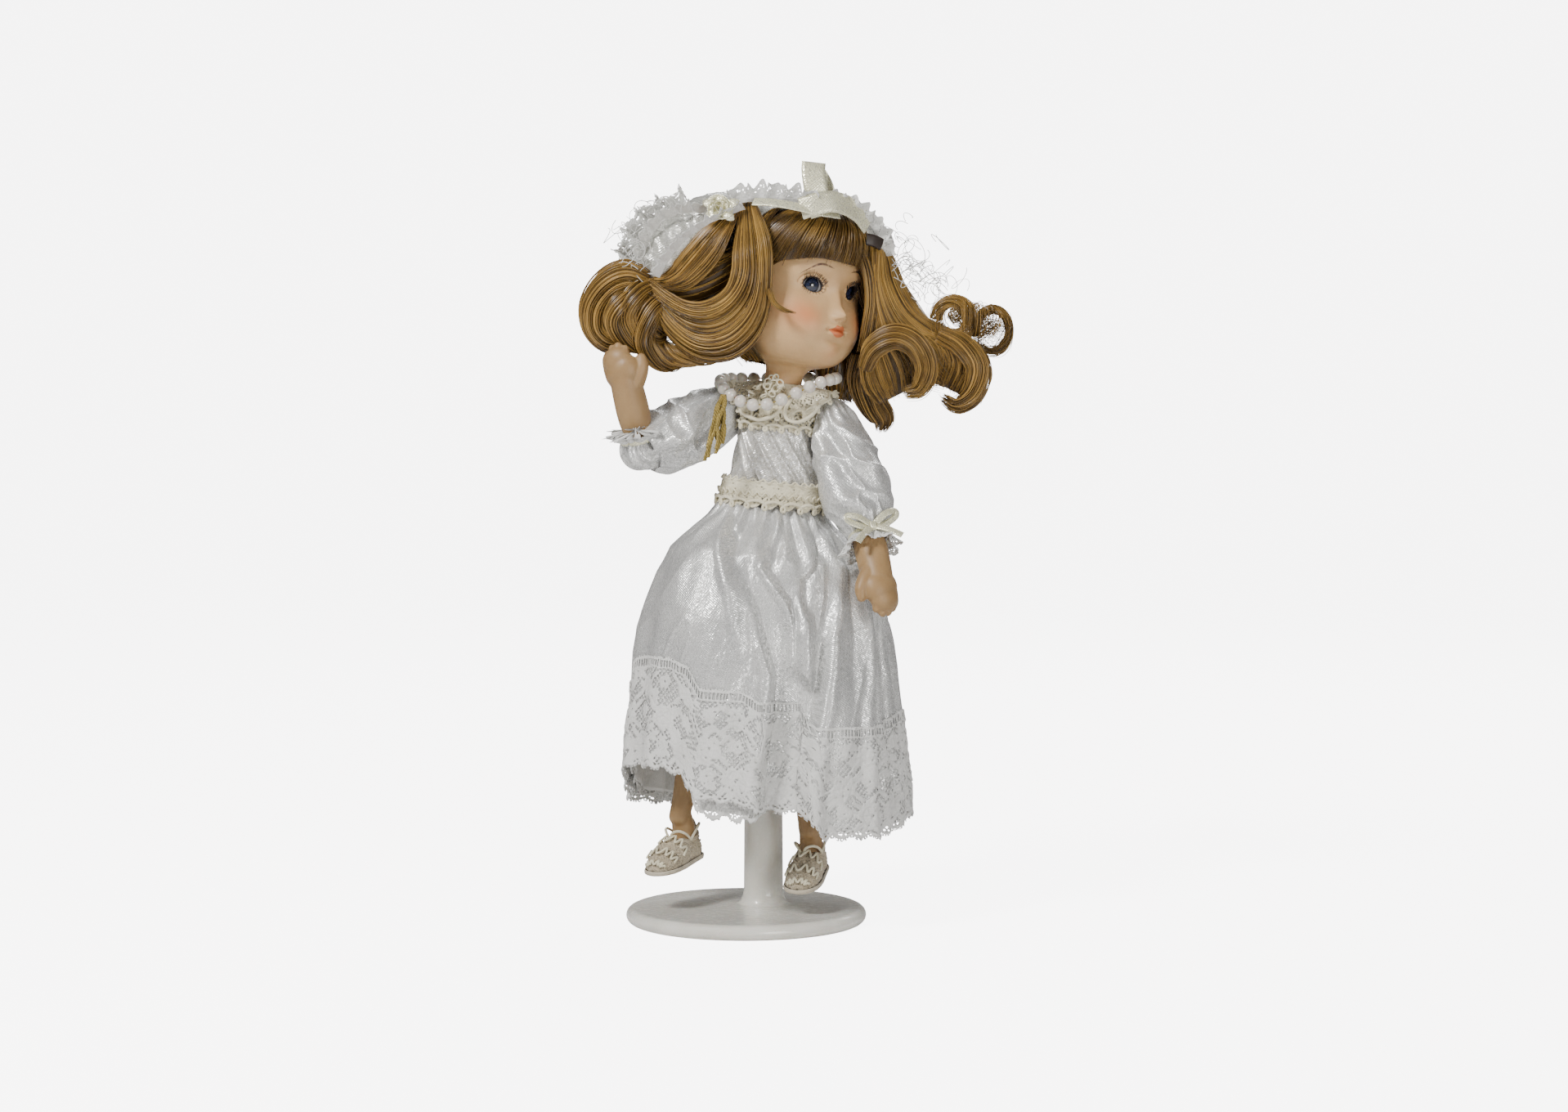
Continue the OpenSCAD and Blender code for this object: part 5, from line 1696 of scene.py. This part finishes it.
def strand_radii(paths, rng, thick):
    """Radii of strands, in metres: thin at the root, thickest near it and tapered at the tip."""
    n, m = paths.shape[:2]
    s = np.linspace(0, 1, m)
    shape = np.minimum(1, 0.5 + 4 * s) * (1 - 0.65 * ramp(s, 0.7, 1.0))
    return STRAND_SIZE * thick * (0.6 + 0.7 * rng.random((n, 1))) * shape[None] * MM


def trimmed(paths, share):
    """Each path cut to its own share of its length, so that the ends of a lock fade out."""
    points = paths.shape[1]
    at = np.linspace(0, 1, points)[None] * share[:, None] * (points - 1)
    k = np.minimum(at.astype(int), points - 2)
    f = (at - k)[..., None]
    rows = np.arange(len(paths))[:, None]
    return paths[rows, k] * (1 - f) + paths[rows, k + 1] * f


def hair_sweep(name, guides, count, depth, seed, clumps, thick=0.27, axes=WORLD, points=36,
               stray=0.35, replaces=(), toward=(0, 1, 0), lit_share=1.0):
    """A fall of hair: strands spread between guide curves, over a sheet of painted shade that closes
    the gaps.
    """
    rng = np.random.default_rng(seed)
    curves = np.array([curve_through(g, points) for g in guides])
    s = np.linspace(0, 1, points)
    count, clumps = int(count * SWEEP_FULLNESS), int(clumps * CLUMP_FULLNESS)
    clump = (np.arange(clumps) + 0.5 + 0.3 * rng.normal(size=clumps)) / clumps
    at = rng.integers(0, clumps, count)
    loose = (rng.random(count) - 0.5) / clumps * 1.9
    w = np.clip(clump[at] + loose, 0, 1)
    close = np.clip(clump[at] + 0.35 * loose, 0, 1)
    paths = between(curves, w)
    paths = paths + (between(curves, close) - paths) * ramp(s, 0.35, 1.0)[None, :, None]
    back = unit(vec(*toward))
    dome = np.square((w - close) * clumps)[:, None]
    sink = rng.random(count)[:, None] ** 1.3 * depth
    height = -0.5 * np.cos(np.pi * np.clip((w - clump[at]) * clumps, -1, 1))[:, None] + dome * 0.3
    wave = 0.25 * np.sin(s[None] * rng.uniform(4, 9, (count, 1)) + rng.uniform(0, TAU, (count, 1)))
    flyaway = np.where(rng.random((count, 1, 1)) < 0.035, 4.5, 1.0)
    drift = rng.normal(size=(count, 1, 3)) * stray * (0.3 + flyaway * s[None, :, None] ** 2)
    paths = paths + back * (sink + height + wave)[..., None] + drift
    paths = trimmed(paths, 1 - 0.1 * rng.random(count) ** 2)
    # painted shade and highlight: a strand's mark falls the deeper it sinks into the fall, and varies
    # at random
    tone = np.clip(0.72 - sink / depth * 0.7 + 0.36 * rng.normal(size=(count, 1)), 0, 1)
    # painted shade: a factor below 1 here darkens every strand of the fall
    tone = tone * lit_share + 0 * s[None]
    piece = make_tubes(name, axes.at(paths), strand_radii(paths, rng, thick), HAIR, "head",
                       sides=3, masks={"strand": tone})
    if replaces:
        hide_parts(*replaces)
    sheet = between(curves, np.linspace(0, 1, 40)) + back * depth * 0.62
    ends = np.concatenate([sheet, sheet[::-1] + back * 0.9])
    order = np.transpose(ends, (1, 0, 2))
    # painted shade: the sheet under the strands is marked 0.12, so it is painted nearly as dark as the
    # deepest strands
    make_piece(name + "_painted_shade", axes.at(order), grid_faces(points, 80, True), HAIR, "head",
               masks={"strand": np.full(order.shape[:2], 0.12)})


def hair_lock(name, guide, count, seed, thick=0.27, flat=1.0, twist=2.0, core=0.74, stray=0.25,
              replaces=()):
    """A curl: strands laid round a guide of x, y, z and radius (world, mm), over a solid core that is
    painted dark as shade.
    """
    points = 42
    rng = np.random.default_rng(seed)
    line = curve_through(guide, points)
    path, radius = line[:, :3], np.maximum(line[:, 3], 0.3)
    along = unit(np.gradient(path, axis=0))
    side = carried(along, unit(np.cross(along[0], (0, -1, 0.2))))
    up = np.cross(along, side) * flat
    s = np.linspace(0, 1, points)
    count = int(count * LOCK_FULLNESS)
    reach = rng.random(count) ** 0.4
    turn = rng.uniform(0, TAU, count)
    turn = turn + 0.25 * np.sin(turn * 9)
    angle = turn[:, None] + twist * s[None] + 0.15 * rng.normal(size=(count, 1))
    ridge = 1 + 0.14 * np.cos(7 * turn)[:, None]
    out = reach[:, None] * radius[None] * ridge
    loose = rng.normal(size=(count, 1, 3)) * stray * s[None, :, None] ** 2
    loose = loose * np.where(rng.random((count, 1, 1)) < 0.08, 3.5, 1.0)
    paths = (path[None] + side[None] * (out * np.cos(angle))[..., None]
             + up[None] * (out * np.sin(angle))[..., None] + loose)
    paths = trimmed(paths, 1 - 0.24 * rng.random(count) ** 1.4)
    # painted shade and highlight: strands near the lock's middle are marked darker, those at its
    # outside lighter
    tone = np.clip(reach[:, None] * 1.1 - 0.35 + 0.22 * rng.normal(size=(count, 1)), 0, 1)
    tone = tone + 0 * s[None]
    piece = make_tubes(name, WORLD.at(paths), strand_radii(paths, rng, thick), HAIR, "head",
                       sides=3, masks={"strand": tone})
    if replaces:
        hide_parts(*replaces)
    if core:
        girth = np.repeat((radius * core * ramp(s, 1.05, 0.75))[:, None], 20, 1)
        solid = swept(WORLD.at(path), girth, side[0], flat)
        solid = np.concatenate([solid[:1].mean(1, keepdims=True) + 0 * solid[:1], solid,
                                solid[-1:].mean(1, keepdims=True) + 0 * solid[-1:]])
        # painted shade: the core is marked 0.1, so it is painted dark between the strands
        make_piece(name + "_painted_shade", solid, grid_faces(points + 2, 20, True), HAIR, "head",
                   masks={"strand": np.full((points + 2, 20), 0.1)})


def make_head_hair():
    """Hair that lies on the head: bangs, crown and the back."""
    s = np.linspace(0, 1, 9)
    bangs = [head_oval(270 + a * (0.5 + 0.5 * s), 28.6 - (16.9 + 3.4 * (a < -60)) * s ** 1.4,
                     4.9 + 1.6 * np.sin(s * 3) - 2.0 * s ** 4)
             for a in (-98, -66, -32, 0, 24, 46, 66)]
    # painted shade: every strand of the bangs is painted darker
    hair_sweep("hair_bangs", bangs, count=900, depth=1.8, seed=11, axes=HEAD, clumps=30,
               replaces=("hair_fringe",), thick=0.25, stray=0.3, lit_share=0.7)
    back = [head_oval(a + 8 * np.sin(2.8 * s + 0.06 * a) * s * math.sin(math.pi * (a + 30) / 220),
                    29.3 - 58 * s ** 1.25,
                    5.2 + 2.6 * np.sin(s * 2.6) + 1.5 * ramp(s, 0.75, 1))
            for a in np.linspace(-30, 190, 12)]
    hair_sweep("hair_back_fall", back, count=1100, depth=2.2, seed=12, axes=HEAD, clumps=60,
               replaces=("hair_back",), thick=0.32, toward=(0, -0.4, 0))


def make_left_hair():
    """Hair on the doll's right, swept down, round and up into a rolled end."""
    outer = [(4, -14, 279), (9.5, -25, 265), (10, -25.5, 250), (8.5, -23, 236), (3, -22, 225.5),
             (-6, -20.5, 219.5), (-18, -17, 219.8), (-29, -13.5, 228), (-38, -8, 243), (-45, -3, 249)]
    outer_mid = [(2, -14, 279.5), (5, -26, 264), (5.5, -28, 250), (3, -27, 239), (-3, -25.5, 231),
                 (-11, -23, 227), (-20, -19, 228), (-29, -14.5, 235), (-37, -8.5, 246.5),
                 (-45, -4, 250)]
    inner_mid = [(0, -13, 279.5), (0.5, -26, 263), (0.5, -29, 252), (-2.5, -28, 244.5), (-8, -26, 239),
                 (-15, -23, 236.5), (-22, -19.5, 237.5), (-30, -14, 242), (-38, -8, 249),
                 (-45, -5, 251)]
    inner = [(-2, -12, 279), (-4.5, -24, 262), (-5, -27, 253.5), (-7, -26, 247), (-11.5, -24, 243),
             (-17.5, -21, 241), (-24, -17.5, 242), (-31, -13, 246), (-38.5, -8, 251), (-45, -6, 252)]
    hair_sweep("hair_swirl", [outer, outer_mid, inner_mid, inner], count=900, depth=3.0, seed=21,
               clumps=26, replaces=("hair_left",), points=46)
    top = [(-1, -10, 279.5), (-9, -19, 270), (-18, -20, 259), (-26, -16, 251), (-33, -10, 249),
           (-42, -5, 251)]
    high = [(-1, -4, 280), (-14, -12, 271.5), (-24, -12, 260.5), (-30, -9, 252.5), (-36, -5, 250.5),
            (-43, 0, 252)]
    rear = [(-1, 4, 280), (-16, 2, 271), (-26, 1, 259), (-31, 1, 249), (-35, 2, 243), (-41, 4, 240)]
    hollow = [(-2, -12, 279), (-5, -22, 268), (-10, -24, 257), (-18, -21, 249), (-25, -16, 246.5),
              (-32, -12, 247)]
    hair_sweep("hair_wave", [rear, high, top, hollow], count=560, depth=2.4, seed=22, clumps=22,
               points=40)
    hair_lock("hair_hollow", [(-4, -8, 262, 9), (-12, -8, 252, 10), (-22, -4, 244, 9),
                              (-33, 0, 240, 8)], count=160, seed=23, core=0.9)
    roll = [(-38, -4, 250, 4), (-46, -5, 251.5, 6.5), (-53, -5, 247.5, 6.6), (-57.5, -4, 240, 6.2),
            (-57, -3, 232, 5.6), (-52, -3, 227.5, 5), (-46, -4, 228.5, 4), (-43.5, -5, 233, 3)]
    hair_lock("hair_roll", roll, count=420, seed=24, twist=1.0, flat=1.25)
    for k, (x, z, drop) in enumerate(((-43, 246, 0), (-37, 240, -3), (-48, 243, 1))):
        coil = [(x + 6, -6, z + 3, 3.5), (x + 1, -11, z - 2, 4.4), (x - 2, -12, z - 10 + drop, 4.2),
                (x + 3, -10, z - 17 + drop, 3.8), (x + 9, -8, z - 19 + drop, 3.0),
                (x + 12, -6, z - 15 + drop, 1.8)]
        hair_lock(f"hair_coil_{k}", coil, count=150, seed=30 + k, twist=2.5)
    under = [(-43, -2, 231, 4), (-37, -5, 225, 4.8), (-29, -7, 221, 4.6), (-20, -9, 221.5, 4.4),
             (-11, -9, 223.5, 5.0), (-2, -8, 227, 6)]
    hair_lock("hair_roll_shade", [(-48, -3, 244, 6), (-42, -3, 238, 7), (-34, -3, 234, 7),
                                  (-26, -3, 232, 6)], count=120, seed=43, core=0.95)
    hair_lock("hair_low_curl", under, count=320, seed=41, twist=7.0, flat=0.9)
    cheek = [(9, -27.5, 246, 1.1), (11, -28.6, 241, 1.0), (15, -30, 238, 0.7),
             (19.5, -30.4, 236.8, 0.3)]
    hair_lock("hair_cheek_wisp", cheek, count=26, seed=42, core=0, thick=0.2, twist=0.5)


def make_right_hair():
    """Hair on the doll's left, falling into loose curls beyond the shoulder."""
    inner = [(40, -2, 277), (47, -8, 265), (48, -8, 252), (47.5, -8, 240), (47, -9, 228),
             (44.5, -9, 217), (46, -6, 208), (51, -3, 202)]
    mid = [(43, 0, 277), (50, -8, 264), (50.5, -11, 251), (53, -11, 239), (58, -10, 229.5),
           (66, -9, 227), (71, -8, 220), (69.5, -6, 210)]
    outer_mid = [(46, 4, 276), (54, -3, 261), (57, -6, 249), (63, -8, 238), (72, -8, 231),
                 (80, -7.5, 226), (85, -7, 217), (81, -6, 207)]
    outer = [(48, 8, 274), (57, 2, 259), (62, -1, 247), (69, -4, 236), (80, -5, 230.5), (89, -5, 225),
             (92.5, -5, 214), (87, -5, 202.5)]
    hair_sweep("hair_cascade", [inner, mid, outer_mid, outer], count=1000, depth=3.2, seed=51,
               clumps=30, points=44, replaces=("hair_right",), stray=0.5)
    hair_lock("hair_cascade_core", [(46, 3, 262, 7), (52, 2, 246, 9), (60, 1, 232, 10),
                                    (70, 0, 220, 10), (80, -1, 213, 7)], count=240, seed=52, core=0.92)
    hook = [(46, -12, 216, 3), (49, -15, 224, 4.2), (57, -16, 228.5, 4.6), (65, -15, 225.5, 4.6),
            (69.5, -13, 217, 4.2), (67, -11, 208.5, 3.4), (61, -10, 206.5, 2)]
    hair_lock("hair_hook_curl", hook, count=260, seed=53, twist=1.6)
    lobe = [(74, -8, 229, 3.4), (83, -9, 225, 4.6), (89.5, -9, 217, 4.8), (88, -8, 207, 4.2),
            (82, -7, 202, 3.2), (76, -6, 205, 1.8)]
    hair_lock("hair_lobe_curl", lobe, count=240, seed=54, twist=1.6)
    turn = np.linspace(1.1 * math.pi, -0.95 * math.pi, 12)
    ring = [(95.5 + 6.6 * math.cos(a), -4 + 0.3 * k, 231 + 8.2 * math.sin(a), 2.0 - 0.1 * k)
            for k, a in enumerate(turn)]
    hair_lock("hair_ring_curl", ring, count=110, seed=55, core=0, thick=0.2, twist=3, stray=0.9)
    turn = np.linspace(math.pi, -1.3 * math.pi, 12)
    loop = [(80 + 6.5 * math.cos(a), -5 - 0.2 * k, 235 + 7 * math.sin(a), 2.8)
            for k, a in enumerate(turn)]
    hair_lock("hair_fuzzy_curl", loop, count=130, seed=56, core=0, thick=0.15, twist=4, stray=1.6)
    face_edge = [(43, -10, 264, 2), (47, -10, 253, 2.4), (48.5, -9.5, 242, 2.4), (47.5, -9, 231, 2.8),
                 (46, -9, 221, 3)]
    hair_lock("hair_face_edge", face_edge, count=120, seed=57, twist=0.8)
    tail = [(45, 2, 222, 4.5), (44.5, 4, 212, 5.4), (49, 7, 203, 5.4), (53.5, 10, 197, 4.4),
            (53, 12, 191.5, 1.6)]
    hair_lock("hair_tail_curl", tail, count=240, seed=58, twist=1.2, replaces=("hair_tail",))
    tangle = [(79, -4, 239, 4), (87, -5, 236, 6), (95, -5, 232, 6.5), (98, -5, 226, 3)]
    hair_lock("hair_tangle", tangle, count=80, seed=60, core=0, thick=0.13, twist=13, stray=2.4)
    neck_dark = [(30, 12, 227, 8.5), (34.5, 13, 218, 9), (38.5, 13, 209, 7), (41, 12, 203, 3)]
    hair_lock("hair_nape", neck_dark, count=200, seed=59, core=0.95)


make_head_hair()
make_left_hair()
make_right_hair()


# ---------------------------------------------------------------- bonnet, tassel and necklace


def ball(middle, size, tilt):
    """A closed oval, tilted about the Y axis (degrees); millimetres in the world frame."""
    polar = np.linspace(0.02, math.pi - 0.02, 40)[::-1, None]
    turn = np.linspace(0, TAU, 60, endpoint=False)[None]
    p = np.stack([size[0] * np.sin(polar) * np.cos(turn), size[1] * np.sin(polar) * np.sin(turn),
                  size[2] * np.cos(polar) + 0 * turn], -1)
    c, s = math.cos(math.radians(tilt)), math.sin(math.radians(tilt))
    spun = np.stack([p[..., 0] * c + p[..., 2] * s, p[..., 1], p[..., 2] * c - p[..., 0] * s], -1)
    return (spun + middle) * MM


def vertex_data(mesh, kind):
    """The mesh's "co" (coordinates, metres) or "normal" at each vertex, as an (n, 3) array."""
    values = np.empty(len(mesh.vertices) * 3)
    mesh.vertices.foreach_get(kind, values)
    return values.reshape(-1, 3)


def crumple(piece, amounts, seed):
    """Pushes a mesh in and out along its normals, so that it lies like gathered cloth."""
    mesh = piece.data
    at, normal = vertex_data(mesh, "co"), vertex_data(mesh, "normal")
    x, y, z = at.T / MM
    push = np.zeros(len(at))
    for k, (amount, size) in enumerate(amounts):
        a = value_noise(x / size + 0.7 * z / size, y / size, seed + 3 * k)
        b = value_noise(z / size, x / size - y / size, seed + 3 * k + 1)
        push += amount * ((1 - np.abs(a + b)) if k % 2 else (a + b) * 0.7)
    mesh.vertices.foreach_set("co", (at + normal * push[:, None] * MM).ravel())
    mesh.update()


def make_bonnet_crown():
    """Puffed satin crown, with a soft lobe on each side, drawn in towards the brim."""
    around = np.linspace(0, 360, 80, endpoint=False)[None]
    lowest = 8 + 17.5 * ramp(-np.sin(np.radians(around)), -0.25, 0.45)
    crown = head_oval(around, lowest + (29.6 - lowest) * np.linspace(0, 1, 30)[:, None], 7.2)
    crown[..., 1] += 5
    local = HEAD.at(crown)
    parts = [local, ball((-20, 5, 266), (23, 15, 13), -26), ball((-31, 4, 259), (15, 12, 11), -58),
             ball((-12, 2, 275), (13, 12, 9), -12), ball((42, 3, 269), (16, 11, 9.5), 36)]
    bonnet = fused("bonnet_satin", parts, voxel=0.9, rounds=6, material=BONNET_SATIN, body="head")
    crumple(bonnet, ((1.1, 13), (1.0, 7), (0.5, 4), (0.35, 2.6)), 200)
    layer = bonnet.data.uv_layers.new(name="cloth")
    index = np.empty(len(bonnet.data.loops), int)
    bonnet.data.loops.foreach_get("vertex_index", index)
    at = vertex_data(bonnet.data, "co")[index] / MM
    layer.data.foreach_set("uv", np.stack([at[:, 0] + at[:, 1], at[:, 2]], -1).ravel())
    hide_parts("bonnet_crown")


FRILL_FULLNESS = 1.5  # length of lace gathered into each length of brim
FRILL_PITCH = 0.36


def lace_frill(name, base, out, width, ruffle, waves, material, pattern, replaces=()):
    """A gathered lace edging that stands on a curve (world frame, mm)."""
    line = curve_through(base, 400)
    steps = run_along(line)
    count = int(steps[-1] * FRILL_FULLNESS / FRILL_PITCH)
    q = np.linspace(0, 1, count)
    path = np.stack([np.interp(q * steps[-1], steps, line[:, k]) for k in range(3)], -1)
    outs = curve_through(np.array([unit(vec(*o)) for o in out]), count)
    u, v = np.arange(count) * FRILL_PITCH, np.arange(-0.3, width + 0.3, FRILL_PITCH)
    h = np.clip(1 - v / width, 0, 1)[:, None]
    along = unit(np.gradient(path, axis=0))
    fold = unit(np.cross(along, outs))
    phase = TAU * waves * q + 0.9 * value_noise(q * waves * 0.7, 0.5, 17)
    height = width * h * (0.94 - 0.1 * np.cos(2 * phase))
    sway = ruffle * h ** 0.8 * np.sin(phase)
    lean = ruffle * 0.5 * h * np.cos(phase + 1)
    points = (path[None] + outs[None] * height[..., None] + fold[None] * sway[..., None]
              + along[None] * lean[..., None])
    piece = make_lace(name, points * MM, u, v, pattern, material, "head", closed=False,
                      lift=0.1, thickness=0.24)
    # narrower edgings are below the smallest sheet that can be declared
    if width > 10:  # only frills wider than 10 mm go through declare_sheet
        declare_sheet(points * MM, closed=False)
    if replaces:
        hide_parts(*replaces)


def make_brim():
    """Lace frills and net that edge the bonnet, and the ribbon along its front."""
    edging = edging_lace(8, repeat=6.4, picots=False)
    narrow = edging_lace(6.5, repeat=4.6, picots=False)
    wide = floral_lace(13, repeat=15, dense=0.22)
    lace_frill("bonnet_frill_left",
               [(-6, -9, 277), (-14, -10, 276), (-23, -10, 276), (-31, -8, 273), (-37, -6, 266),
                (-39.5, -5, 258), (-38.5, -4, 251)],
               [(0, -0.8, 0.8), (-0.3, -0.8, 0.7), (-0.7, -0.7, 0.6), (-0.9, -0.6, 0.1)],
               width=6.5, ruffle=0.9, waves=8, material=NET_LACE, pattern=narrow,
               replaces=("bonnet_brim",))
    lace_frill("bonnet_frill_inner",
               [(0, -16, 277), (-8, -19, 274), (-16, -20, 270), (-23, -19.5, 265), (-29, -16, 258),
                (-33, -12, 251)],
               [(-0.2, -1, 0.5), (-0.5, -1, 0.4), (-0.9, -0.7, 0.3)],
               width=6, ruffle=1.0, waves=7, material=WHITE_LACE,
               pattern=edging_lace(6, repeat=4.6, picots=False))
    lace_frill("bonnet_frill_top",
               [(-6, -14, 277.5), (1, -17, 279), (9, -18, 279.5), (18, -19, 279), (27, -19, 277.5)],
               [(-0.3, -0.4, 1), (0.1, -0.4, 1), (0.1, -0.8, 0.6)],
               width=8.5, ruffle=1.5, waves=5, material=WHITE_LACE, pattern=edging)
    lace_frill("bonnet_frill_right",
               [(28, -17, 278), (37, -15, 278), (45, -11, 273.5), (50.5, -7, 267), (53, -4, 259)],
               [(0.2, -0.6, 0.9), (0.6, -0.6, 0.6), (0.9, -0.5, 0.2)],
               width=7, ruffle=1.1, waves=6, material=NET_LACE, pattern=edging)
    lace_frill("bonnet_net_left",
               [(-20, 0, 277), (-31, 2, 274), (-38, 4, 267), (-41, 5, 257), (-38, 5, 248)],
               [(-0.4, -0.5, 1), (-1, -0.5, 0.4), (-1, -0.5, -0.2)],
               width=12, ruffle=2.2, waves=6, material=NET_LACE, pattern=wide)
    edge = HEAD.at(head_oval(np.linspace(-14, 194, 15), 9.0 + np.zeros(15), 7.6) + vec(0, 5, 0)) / MM
    away = [edge[k] - HEAD.origin / MM + vec(0, 0, -46) for k in (0, 4, 7, 10, 14)]
    lace_frill("bonnet_frill_back", edge, away, width=5.5, ruffle=1.2, waves=15, material=WHITE_LACE,
               pattern=edging_lace(5.5, repeat=4.6, picots=False))
    front = curve_through([(3, -20.5, 279.5), (10, -23, 279), (19, -24, 277.5), (28, -22.5, 275.5),
                           (36, -18.5, 274.5)], 60) * MM
    rim = make_ribbon("bonnet_rim", front, 4.2, unit(vec(0.1, -0.75, 0.66)), "head")
    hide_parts("bonnet_bow")


def make_bonnet_ribbon():
    """The ribbon on top: a standing loop, a tail towards the side and a fold behind."""
    up = curve_through([(29.5, -20, 274), (28.2, -21, 279), (26.8, -21.2, 285), (26.0, -20, 291),
                        (26.2, -18.6, 294.5)], 60) * MM
    make_ribbon("bonnet_ribbon_loop", up, 9.2, unit(vec(0.12, -1, 0.12)), "head")
    over = curve_through([(21, -23, 276.5), (27, -24, 278.3), (33, -22.5, 279.3), (39, -18.5, 278),
                          (44, -14, 275), (47.5, -10, 271)], 70) * MM
    make_ribbon("bonnet_ribbon_tail", over, 8.6, unit(vec(0.45, -1, 0.3)), "head")
    back = curve_through([(31, -18, 277), (32, -14, 284), (30, -10, 289), (27, -9, 291)], 40) * MM
    make_ribbon("bonnet_ribbon_fold", back, 8, unit(vec(0.6, 0.7, 0.5)), "head")


def make_rosebud():
    """A ribbon rose: petals wound round each other, over small folded leaves."""
    middle = vec(-9.5, -19.5, 276.5)
    rose = Axes(middle * MM, (1, 0, 0), (-0.25, -1, 0.25))
    winding = np.linspace(0, 3.4 * TAU, 320)
    radius = 0.5 + 3.7 * (winding / winding[-1]) ** 0.9 + 0.35 * np.cos(winding * 2.4)
    levels = np.linspace(0, 1, 12)[:, None]
    flare = 1 + 0.28 * levels ** 2 * (0.4 + winding / winding[-1])
    height = (4.4 - 2.4 * (winding / winding[-1])) * levels + 0.3 * np.sin(winding * 3) * levels
    points = np.stack([radius * flare * np.cos(winding), radius * flare * np.sin(winding),
                       height - 1.0], -1)
    rose_piece = make_cloth("bonnet_rosebud", rose.at(points), False, RIBBON, "head",
                            thickness=0.25)
    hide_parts("bonnet_rosette")
    for k, (turn, length) in enumerate(((2.6, 8), (3.6, 7), (0.4, 8), (-0.7, 7), (1.5, 6))):
        out = vec(math.cos(turn), math.sin(turn), 0)
        knots = [vec(0, 0, -0.6), out * length * 0.4 + vec(0, 0, 0.9),
                 out * length * 0.8 + vec(0, 0, 0.6), out * length - vec(0, 0, 0.4)]
        path = rose.at(curve_through(knots, 30))
        width = 0.6 + 3.2 * np.sin(np.linspace(0.25, math.pi - 0.05, 30))
        make_ribbon(f"bonnet_leaf_{k}", path, width, rose.rows[2] + 0.2 * rose.rows[1], "head")


def make_net_threads():
    """Loose threads of the torn net, on both sides of the bonnet."""
    rng = np.random.default_rng(77)
    paths = []
    for middle, spread, count in (((61.5, -3, 258), (5, 3, 8), 36), ((70, -4, 249), (7, 4, 5), 26),
                                  ((-43, -7, 259), (3, 3, 9), 44), ((-34, -8, 275), (7, 3, 4), 20)):
        for _ in range(count):
            start = vec(*middle) + rng.normal(size=3) * vec(*spread) * 0.7
            turn = np.linspace(0, rng.uniform(3, 8), 26)
            size = rng.uniform(1.2, 3.6)
            drift = rng.normal(size=3) * vec(0.7, 0.4, 0.7)
            curl = np.stack([size * np.cos(turn + rng.uniform(0, 6)), 0.5 * size * np.sin(turn * 0.7),
                             size * np.sin(turn)], -1)
            paths.append((start + curl + drift * turn[:, None]) * MM)
    make_tubes("bonnet_net_threads", paths, 0.14 * MM, NET_LACE, "head", sides=4)


def make_hair_clip():
    """Dark clip at the doll's left temple."""
    path = curve_through([(46.5, -12.5, 265.6), (49.5, -11.6, 265), (52.6, -9.8, 263.6)], 24) * MM
    make_ribbon("hair_clip", path, 4.6, unit(vec(0.35, -1, 0.1)), "head", material=LASH, thickness=0.9)


def make_tassel():
    """Loose metallic cords, each of three twisted strands, that hang from the necklace."""
    rng = np.random.default_rng(91)
    guide = curve_through([(-8.4, -20, 206, 0.6), (-9.2, -22, 201.5, 2.4), (-10.2, -23, 195, 3.0),
                           (-11.8, -23, 188, 3.2), (-14.0, -22.6, 180, 3.4)], 90)
    s = np.linspace(0, 1, 90)
    plies = []
    for cord in range(11):
        place = rng.uniform(0, TAU) + rng.uniform(-2.5, 2.5) * s
        place = place + 0.7 * np.sin(s * rng.uniform(4, 9) + cord)
        reach = guide[:, 3] * rng.uniform(0.35, 1.0)
        aside = np.stack([reach * np.cos(place), 0.45 * reach * np.sin(place), 0 * s], -1)
        middle = guide[:, :3] + aside
        share = rng.uniform(0.6, 1.0)
        for ply in range(3):
            turn = TAU * (ply / 3 + 7 * s)
            path = middle + 0.42 * np.stack([np.cos(turn), np.sin(turn), 0 * s], -1)
            plies.append(trimmed(path[None], np.array([share]))[0] * MM)
    tassel = make_tubes("gold_tassel_strands", plies, 0.36 * MM, GOLD, "torso", sides=6)
    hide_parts("gold_tassel")


make_bonnet_crown()
make_brim()
make_bonnet_ribbon()
make_rosebud()
make_net_threads()
make_hair_clip()
make_tassel()
